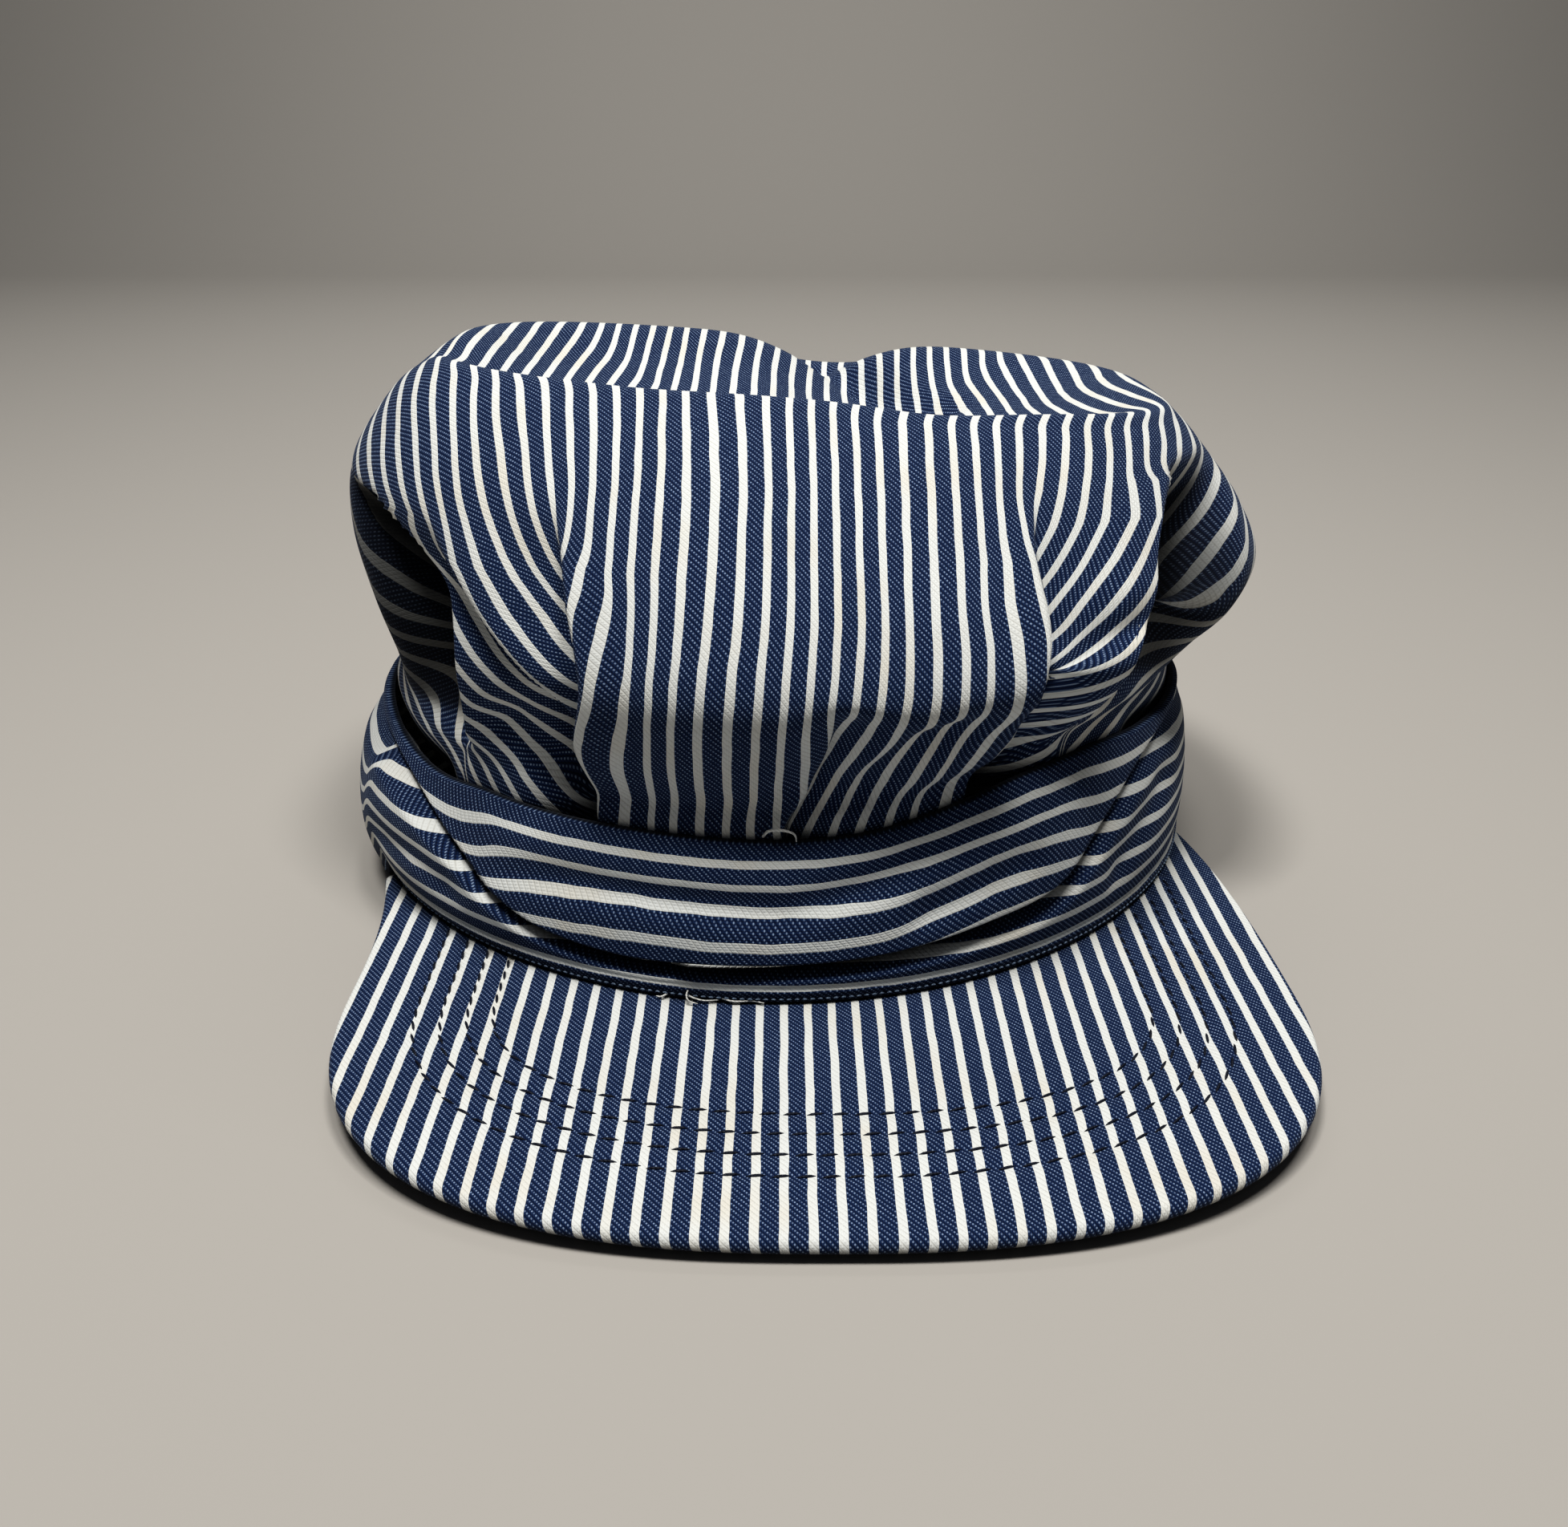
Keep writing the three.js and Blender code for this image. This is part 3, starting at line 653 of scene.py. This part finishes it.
def brimOutline(share):
    side = 1 if share >= 0 else -1
    turn = min(abs(share) / brim["frontShare"], 1) * 90 * degree
    across = brim["width"] / 2 * math.sin(turn) ** (2 / brim["squareness"])
    forward = brim["length"] * max(math.cos(turn), 0) ** (2 / brim["squareness"])
    back = max(abs(share) - brim["frontShare"], 0) / (1 - brim["frontShare"])
    corner = brimSeam(side, band["wall"])
    x = mix(brim["aside"] + side * across, corner[0], back ** brim["sideBulge"])
    return np.array([x, mix(-halfDepth - forward, corner[1], back)])


def brimRow(row):  # plan points, 1 mm apart or less, of one row of stitches from seam to seam
    s = brimStitching
    across = brim["width"] / 2 - s["sideInset"] - row * s["sideStep"]
    forward = brim["length"] - s["frontInset"] - row * s["frontStep"]
    turn = np.linspace(-90, 90, 500) * degree
    x = brim["aside"] + across * power(np.sin(turn), 2 / s["squareness"])
    y = -halfDepth - forward * np.cos(turn) ** (2 / s["squareness"])
    ends = []
    for side in (-1, 1):
        sideX = brim["aside"] + side * across
        seamY = -halfDepth * math.sqrt(1 - (sideX / halfWidth) ** 2) - 1
        backwards = np.linspace(-halfDepth, seamY, 40)[1:]
        ends.append(np.column_stack([np.full_like(backwards, sideX), backwards]))
    return np.concatenate([ends[0][::-1], np.column_stack([x, y]), ends[1]])


def brimLift(plan, rows):  # height of the brim's top with its quilting
    nearest = np.full(plan.shape[:-1], 1e9)
    for row in rows:
        for part in np.array_split(row[::2], 12):  # in parts, to save memory
            distance = np.linalg.norm(plan[..., None, :] - part, axis=-1).min(-1)
            nearest = np.minimum(nearest, distance)
    quilted = brimStitching["sink"] * hump(nearest, brimStitching["sinkWidth"])
    return brimTop(plan[..., 0], plan[..., 1]) - quilted


def makeBrim(material, rows):
    rounding = brim["thickness"] / 2
    q = np.linspace(0, math.pi, brim["edgeSteps"] + 2)[1:-1]
    profiles, flats = [], []
    for share in np.linspace(-1, 1, brim["columns"]):
        inner, outer = brimSeam(share, -band["wall"]), brimOutline(share)
        outwards = (outer - inner) / np.linalg.norm(outer - inner)
        outer = outer - outwards * rounding
        plan = inner + (outer - inner) * np.linspace(0, 1, brim["rows"])[:, None]
        top = np.column_stack([plan, brimLift(plan, rows)])
        under = np.column_stack([plan, brimTop(plan[:, 0], plan[:, 1]) - brim["thickness"]])
        under = under[:: -brim["underStep"]]
        edge = outer + outwards * rounding * np.sin(q)[:, None]
        edge = np.column_stack([edge, top[-1, 2] - rounding + rounding * np.cos(q)])
        profiles.append(np.concatenate([top, edge, under]))
        wrap = outer + outwards * (rounding * q)[:, None]
        flats.append(np.concatenate([plan, wrap, plan[:: -brim["underStep"]]]))
    points, faces = tubeMesh(np.stack(profiles))
    flat = np.concatenate(flats)
    makePiece("brim_cloth", points, faces, flat, material, "brim")
    print("brim:", len(faces), "faces,", len(rows), "quilted rows")


# Stitches and threads

hemStitching = {
    "height": 1.1,  # mm above the lower rim
    "length": 1.0,
    "space": 0.55,
    "thread": 0.42,
    "out": 0.2,  # share of its thickness that the thread lies off the cloth
}

stitchRise = 0.35  # share of the thread's thickness that a stitch rises in its middle
stitchEnd = 0.06  # squared share of its thickness that a stitch narrows to at its ends


def capsule(start, end, radius, bulge, around=6, steps=5):  # one stitch, higher in its middle
    start, end = np.asarray(start, float), np.asarray(end, float)
    run = (end - start) / np.linalg.norm(end - start)
    side = np.cross(run, (0, 0, 1))
    side /= np.linalg.norm(side)
    up = np.cross(side, run)
    turn = np.arange(around) / around * 2 * math.pi
    points = []
    for share in np.linspace(0, 1, steps):
        size = radius * math.sqrt(max(1 - (2 * share - 1) ** 4, stitchEnd))
        centre = mix(start, end, share) + up * bulge * math.sin(math.pi * share)
        points.append(centre + size * (np.cos(turn)[:, None] * side + np.sin(turn)[:, None] * up))
    return tubeMesh(np.array(points))


def joined(parts):
    points, faces, start = [], [], 0
    for partPoints, partFaces in parts:
        points.append(partPoints)
        faces.extend([[i + start for i in face] for face in partFaces])
        start += len(partPoints)
    return np.concatenate(points), faces


def stitchLine(path, s):  # stitches of length and space along a path of points on the cloth
    step = np.linalg.norm(np.diff(path, axis=0), axis=-1)
    total = np.concatenate([[0], np.cumsum(step)])
    stitches = []
    pitch = s["length"] + s["space"]
    for k in range(int(total[-1] / pitch)):
        ends = []
        for where, lean in ((k * pitch, 1), (k * pitch + s["length"], -1)):
            point = np.array([np.interp(where, total, path[:, axis]) for axis in range(3)])
            ahead = np.array([np.interp(where + 0.5, total, path[:, axis]) for axis in range(3)])
            aside = np.cross(ahead - point, (0, 0, 1))
            aside /= max(np.linalg.norm(aside), 1e-6)
            ends.append(point + aside * s.get("slant", 0) * lean)
        stitches.append(capsule(*ends, s["thread"] / 2, s["thread"] * stitchRise))
    return stitches


def makeThreads(name, parts, material):
    points, faces = joined(parts)
    makePiece(name, points, faces, points[:, :2], material)


def makeBrimStitches(material, rows):
    stitches = []
    for row in rows:
        lift = brimTop(row[:, 0], row[:, 1]) - brimStitching["sink"]
        stitches += stitchLine(np.column_stack([row, lift]), brimStitching)
    makeThreads("brim_stitches", stitches, material)
    print("brim stitches:", len(stitches))


def makeHemStitches(material):
    angles = np.linspace(-180, 180, 1200)
    share = hemStitching["height"] / band["height"]
    path = bandPoint(angles, share, True)[0]
    out = bandPoint(angles, share)[1]
    path[:, :2] += out * hemStitching["thread"] * hemStitching["out"]
    stitches = stitchLine(path, hemStitching)
    makeThreads("hem_stitches", stitches, material)
    print("hem stitches:", len(stitches))


def looseThread(path, thick, around=6):  # a tube along a smooth curve through a few points
    path = np.array(path, float)
    keys = {"at": np.arange(len(path)), "x": path[:, 0], "y": path[:, 1], "z": path[:, 2]}
    at = np.linspace(0, len(path) - 1, 8 * len(path))
    curve = np.column_stack([along(keys, axis, at) for axis in "xyz"])
    run = np.gradient(curve, axis=0)
    run /= np.linalg.norm(run, axis=-1, keepdims=True)
    side = np.cross(run, (0.1, 0.2, 1))
    side /= np.linalg.norm(side, axis=-1, keepdims=True)
    up = np.cross(side, run)
    turn = (np.arange(around) / around * 2 * math.pi)[None, :, None]
    taper = thick / 2 * (1 - frayedThreads["taper"] * np.linspace(0, 1, len(at)) ** 3)[:, None, None]
    return tubeMesh(curve[:, None] + taper * (np.cos(turn) * side[:, None] + np.sin(turn) * up[:, None]))


# Frayed ends where the hem meets the brim and at the tuck: start on the rim (angle), then offsets in mm.
frayedThreads = {
    "thick": 0.38,
    "taper": 0.55,  # an end is thinner by this share
    "ends": (
        (-10.5, ((0, 0.2, 1.2), (1.8, -1.4, 0.9), (4.5, -2.2, 0.4), (7.6, -1.9, 0.3))),
        (-9.0, ((0, 0.3, 3.2), (-1.2, -1.3, 1.9), (-0.9, -2.3, 0.8), (1.0, -2.8, 0.3))),
        (-6.5, ((0, 0.1, 0.9), (3.4, -1.5, 0.5), (7.4, -1.2, 0.35), (9.8, -1.9, 0.3))),
        (-11.6, ((0, 0.2, 0.8), (-1.8, -1.3, 0.5), (-3.0, -0.9, 0.35))),
        (-8.2, ((0, 0.2, 2.4), (1.4, -0.9, 2.9), (2.6, -0.8, 2.3), (3.0, -1.0, 1.2))),
    ),
    "tuck": ((-2.4, 0.6, 1.0), (-1.2, -1.5, 3.2), (1.4, -2.4, 3.8), (3.6, -1.6, 2.6), (4.1, -0.8, 0.6)),
    "tuckAngle": 0.5,
    "tuckBack": 1.0,
    "tuckThicker": 1.6,
}


def makeLooseThreads(material):
    threads = []
    for angle, offsets in frayedThreads["ends"]:
        root = bandPoint(np.array([float(angle)]), 0.0)[0][0]
        threads.append(looseThread(root + np.array(offsets), frayedThreads["thick"]))
    root = bandPoint(np.array([frayedThreads["tuckAngle"]]), 1.0)[0][0] + (0, frayedThreads["tuckBack"], 0)
    thick = frayedThreads["thick"] * frayedThreads["tuckThicker"]
    threads.append(looseThread(root + np.array(frayedThreads["tuck"]), thick))
    makeThreads("loose_threads", threads, material)
    print("loose threads:", len(threads))


# Cloth

twill = {
    "warp": 4.7 / 12,  # mm, pitch of the threads along the stripes
    "weft": 0.43,
    "threads": 12,  # in one repeat of the stripe
    "whiteThreads": 4,
    "float": 3,  # a weft thread shows at every third warp thread
    "phases": {"crown": -1.7, "band": 1.75, "brim": -1.7},  # mm that the stripes are moved sideways
    "wander": 0.5,  # mm, over which the stripes stray sideways
    "wanderScale": 0.12,
    "dotEdge": (0.52, 0.26),  # threads from the middle of a dot, where it begins and where it is full
    "grooveAt": 0.75,  # between one twill line and the next
    "grooveWidth": 0.22,
    "navy": (0.004, 0.01, 0.04),
    # painted highlight: navy threads are lighter along their round tops
    "navyLit": (0.01, 0.028, 0.09),
    # painted shade in the grooves between the twill's ridges, for navy and cream threads
    "navyGrooveShade": (0.001, 0.0025, 0.01),
    "navyGroove": 0.7,  # share of the painted groove shade in the grooves
    "white": (0.75, 0.77, 0.75),
    "cream": (0.72, 0.67, 0.56),
    "creamGrooveShade": (0.324, 0.3015, 0.252),
    "creamGroove": (0.2, 0.18),  # share of painted groove shade: what differs from thread to thread, and what all have
    "dot": (0.3, 0.4, 0.56),
    "dotShows": (0.5, 0.35),
    "agedScale": 0.045,
    "agedFrom": (0.45, 0.75),
    "aged": 0.6,  # share of cream where the white has aged most
    "shadeReach": 0.06,  # m, cloth this near to other cloth gets little light and is painted darker, as painted shade
    "shadeFrom": (0.2, 0.62),  # how open it lies, from the darkest to the full colour
    "shadeLeast": 0.1,  # share of the colour left there
    "shadeSamples": 8,
    "hollowShade": 0.12,  # share of the colour left as painted shade in the crown's two deep hollows
    "relief": (0.4, 0.6, 0.6),  # of threads, dots and grooves
}


def calc(tree, operation, a, b=None, c=None):
    node = tree.nodes.new("ShaderNodeMath")
    node.operation = operation
    for socket, value in zip(node.inputs, (a, b, c)):
        if value is None:
            continue
        if isinstance(value, bpy.types.NodeSocket):
            tree.links.new(value, socket)
        else:
            socket.default_value = value
    return node.outputs[0]


def times(tree, a, b):
    return calc(tree, "MULTIPLY", a, b)


def blendColours(tree, share, a, b):
    node = tree.nodes.new("ShaderNodeMix")
    node.data_type = "RGBA"
    for socket, value in ((node.inputs[0], share), (node.inputs[6], a), (node.inputs[7], b)):
        if isinstance(value, bpy.types.NodeSocket):
            tree.links.new(value, socket)
        elif isinstance(value, tuple):
            socket.default_value = (*value, 1)
        else:
            socket.default_value = value
    return node.outputs[2]


def ramp(tree, value, start, end, low=0.0, high=1.0):
    node = tree.nodes.new("ShaderNodeMapRange")
    node.interpolation_type = "SMOOTHSTEP"
    tree.links.new(value, node.inputs[0])
    for socket, number in zip(node.inputs[1:5], (start, end, low, high)):
        socket.default_value = number
    return node.outputs[0]


def noise(tree, vector, scale, detail=2.0):
    node = tree.nodes.new("ShaderNodeTexNoise")
    node.inputs["Scale"].default_value = scale
    node.inputs["Detail"].default_value = detail
    tree.links.new(vector, node.inputs["Vector"])
    return node.outputs["Fac"]


def newMaterial(name, roughness):
    material = bpy.data.materials.new(name)
    material.use_nodes = True
    shader = material.node_tree.nodes["Principled BSDF"]
    shader.inputs["Roughness"].default_value = roughness
    return material, material.node_tree, shader


def addBump(tree, shader, height, strength, distance):
    bump = tree.nodes.new("ShaderNodeBump")
    bump.inputs["Strength"].default_value = strength
    bump.inputs["Distance"].default_value = distance
    tree.links.new(height, bump.inputs["Height"])
    tree.links.new(bump.outputs[0], shader.inputs["Normal"])


def hickoryTwill(name, phase):
    material, tree, shader = newMaterial(name, 0.85)
    shader.inputs["Specular IOR Level"].default_value = 0.12
    shader.inputs["Sheen Weight"].default_value = 0.06
    shader.inputs["Sheen Roughness"].default_value = 0.5
    shader.inputs["Sheen Tint"].default_value = (0.75, 0.82, 1, 1)

    cloth = tree.nodes.new("ShaderNodeAttribute")
    cloth.attribute_name = "cloth"
    flat = cloth.outputs["Vector"]
    split = tree.nodes.new("ShaderNodeSeparateXYZ")
    tree.links.new(flat, split.inputs[0])
    stray = noise(tree, flat, twill["wanderScale"])
    wander = calc(tree, "MULTIPLY_ADD", stray, twill["wander"], phase - twill["wander"] / 2)
    warp = calc(tree, "DIVIDE", calc(tree, "ADD", split.outputs[0], wander), twill["warp"])
    weft = calc(tree, "DIVIDE", split.outputs[1], twill["weft"])
    warpThread, weftThread = calc(tree, "FLOOR", warp), calc(tree, "FLOOR", weft)
    warpIn, weftIn = calc(tree, "FRACT", warp), calc(tree, "FRACT", weft)

    inRepeat = calc(tree, "FLOORED_MODULO", warpThread, twill["threads"])
    isWhite = calc(tree, "LESS_THAN", inRepeat, twill["whiteThreads"] - 0.5)
    crossing = calc(tree, "FLOORED_MODULO", calc(tree, "ADD", warpThread, weftThread), twill["float"])
    isDot = calc(tree, "LESS_THAN", crossing, 0.5)

    acrossDot = calc(tree, "SUBTRACT", warpIn, 0.5)
    alongDot = calc(tree, "SUBTRACT", weftIn, 0.5)
    acrossSquare = times(tree, acrossDot, acrossDot)
    alongSquare = times(tree, alongDot, alongDot)
    distance = calc(tree, "SQRT", calc(tree, "ADD", acrossSquare, alongSquare))
    dot = times(tree, isDot, ramp(tree, distance, *twill["dotEdge"]))
    threadRound = calc(tree, "SUBTRACT", 1, times(tree, acrossSquare, 4))
    twillLine = calc(tree, "FRACT", calc(tree, "DIVIDE", calc(tree, "ADD", warp, weft), twill["float"]))
    fromGroove = calc(tree, "ABSOLUTE", calc(tree, "SUBTRACT", twillLine, twill["grooveAt"]))
    groove = ramp(tree, fromGroove, 0.0, twill["grooveWidth"], 1, 0)

    speckle = tree.nodes.new("ShaderNodeTexWhiteNoise")
    speckle.noise_dimensions = "2D"
    cell = tree.nodes.new("ShaderNodeCombineXYZ")
    tree.links.new(warpThread, cell.inputs[0])
    tree.links.new(weftThread, cell.inputs[1])
    tree.links.new(cell.outputs[0], speckle.inputs["Vector"])
    uneven = speckle.outputs["Value"]

    # painted highlight along the round top of each navy thread
    navy = blendColours(tree, threadRound, twill["navy"], twill["navyLit"])
    # painted shade in the twill's grooves, on the navy and the white threads
    navy = blendColours(tree, times(tree, groove, twill["navyGroove"]), navy, twill["navyGrooveShade"])
    dotShare = times(tree, dot, calc(tree, "MULTIPLY_ADD", uneven, *twill["dotShows"]))
    navy = blendColours(tree, dotShare, navy, twill["dot"])
    aged = ramp(tree, noise(tree, flat, twill["agedScale"], 3.0), *twill["agedFrom"])
    white = blendColours(tree, times(tree, aged, twill["aged"]), twill["white"], twill["cream"])
    whiteShade = times(tree, groove, calc(tree, "MULTIPLY_ADD", uneven, *twill["creamGroove"]))
    white = blendColours(tree, whiteShade, white, twill["creamGrooveShade"])
    colour = blendColours(tree, isWhite, navy, white)

    # painted shade: cloth close to other cloth is darkened where little light falls
    closeness = tree.nodes.new("ShaderNodeAmbientOcclusion")
    closeness.samples = twill["shadeSamples"]
    closeness.inputs["Distance"].default_value = twill["shadeReach"]
    shade = ramp(tree, closeness.outputs["AO"], *twill["shadeFrom"], twill["shadeLeast"], 1)
    # painted shade in the crown's hollows, read from the third part of the cloth attribute
    shade = times(tree, shade, ramp(tree, split.outputs[2], 0, 1, 1, twill["hollowShade"]))
    dark = tree.nodes.new("ShaderNodeVectorMath")
    dark.operation = "SCALE"
    tree.links.new(colour, dark.inputs[0])
    tree.links.new(shade, dark.inputs["Scale"])
    tree.links.new(dark.outputs[0], shader.inputs["Base Color"])

    parts = zip((threadRound, dot, groove), twill["relief"])
    threads, dots, grooves = (times(tree, part, rise) for part, rise in parts)
    addBump(tree, shader, calc(tree, "SUBTRACT", calc(tree, "ADD", threads, dots), grooves), 0.5, 0.00015)
    return material


def threadFinish(name, colour, roughness):  # twisted sewing thread
    material, tree, shader = newMaterial(name, roughness)
    shader.inputs["Specular IOR Level"].default_value = 0.3
    place = tree.nodes.new("ShaderNodeTexCoord").outputs["Object"]
    twist = tree.nodes.new("ShaderNodeTexWave")
    twist.bands_direction = "DIAGONAL"
    twist.inputs["Scale"].default_value = 900
    twist.inputs["Distortion"].default_value = 2
    tree.links.new(place, twist.inputs["Vector"])
    darker = tuple(c * 0.5 for c in colour)
    uneven = times(tree, twist.outputs["Fac"], noise(tree, place, 400))
    tree.links.new(blendColours(tree, uneven, colour, darker), shader.inputs["Base Color"])
    addBump(tree, shader, twist.outputs["Fac"], 0.6, 0.0001)
    return material


# Stage, light and camera

view = {
    "away": 326,  # mm from the middle of the opening
    "aside": 2.5,
    "height": 162,
    "pitch": 24,  # degrees down
    "focal": 1756,  # pixels, of an image 1955 wide
    "imageWidth": 1955,
}


def makeStage():
    near, far, side, height, bend, steps = -2.5, 2.2, 3.5, 2.2, 0.6, 12  # m, and steps of the bend
    profile = [(near, 0), (far - bend, 0)]
    for i in range(1, steps + 1):
        q = i / steps * math.pi / 2
        profile.append((far - bend + bend * math.sin(q), bend - bend * math.cos(q)))
    profile.append((far, height))
    points = [(x, y, z) for x in (-side, side) for y, z in profile]
    count = len(profile)
    faces = [(i, i + 1, count + i + 1, count + i) for i in range(count - 1)]
    mesh = bpy.data.meshes.new("studio_sweep")
    mesh.from_pydata(points, [], [f[::-1] for f in faces])
    mesh.shade_smooth()
    sweep = bpy.data.objects.new("studio_sweep", mesh)
    material, _, shader = newMaterial("pale_paper", 0.9)
    shader.inputs["Base Color"].default_value = (0.42, 0.4, 0.37, 1)
    mesh.materials.append(material)
    scene.collection.objects.link(sweep)


def areaLight(name, place, aim, size, watts, colour):
    light = bpy.data.lights.new(name, "AREA")
    light.size = size
    light.energy = watts
    light.color = colour
    lamp = bpy.data.objects.new(name, light)
    lamp.location = place
    lamp.rotation_euler = (Vector(aim) - Vector(place)).to_track_quat("-Z", "Y").to_euler()
    scene.collection.objects.link(lamp)


def makeLight():
    world = bpy.data.worlds.new("studio")
    scene.world = world
    world.use_nodes = True
    background = world.node_tree.nodes["Background"]
    background.inputs["Color"].default_value = (0.86, 0.9, 1, 1)
    background.inputs["Strength"].default_value = 0.05
    scene.view_settings.view_transform = "Standard"
    scene.view_settings.look = "Medium High Contrast"
    target = (0, 0, 0.05)
    areaLight("ceiling_left", (-0.16, -0.22, 1.1), target, 0.24, 7.3, (1, 0.98, 0.95))
    areaLight("ceiling_right", (0.18, -0.2, 1.1), target, 0.24, 5.3, (1, 0.98, 0.95))
    areaLight("backdrop_wash", (0, 0.9, 1.5), (0, 2.2, 0.4), 1.2, 14, (1, 0.99, 0.97))


def makeCamera():
    camera = bpy.data.cameras.new("camera")
    camera.sensor_width = 36
    camera.lens = camera.sensor_width * view["focal"] / view["imageWidth"]
    camera.clip_start = 0.01
    holder = bpy.data.objects.new("camera", camera)
    holder.location = middle + Vector((view["aside"], -view["away"], view["height"])) / 1000
    holder.rotation_euler = ((90 - view["pitch"]) * degree, 0, 0)
    scene.collection.objects.link(holder)
    scene.camera = holder


makeStage()
makeLight()
makeCamera()
print("stage, light and camera set")

makeCrown(hickoryTwill("crown_twill", twill["phases"]["crown"]))
makeBand(hickoryTwill("band_twill", twill["phases"]["band"]))
brimRows = [brimRow(row) for row in range(brimStitching["rows"])]
makeBrim(hickoryTwill("brim_twill", twill["phases"]["brim"]), brimRows)
makeBrimStitches(threadFinish("brim_thread", (0.005, 0.008, 0.02), 0.6), brimRows)
makeHemStitches(threadFinish("hem_thread", (0.3, 0.4, 0.55), 0.7))
makeLooseThreads(threadFinish("loose_thread", (0.8, 0.8, 0.76), 0.8))
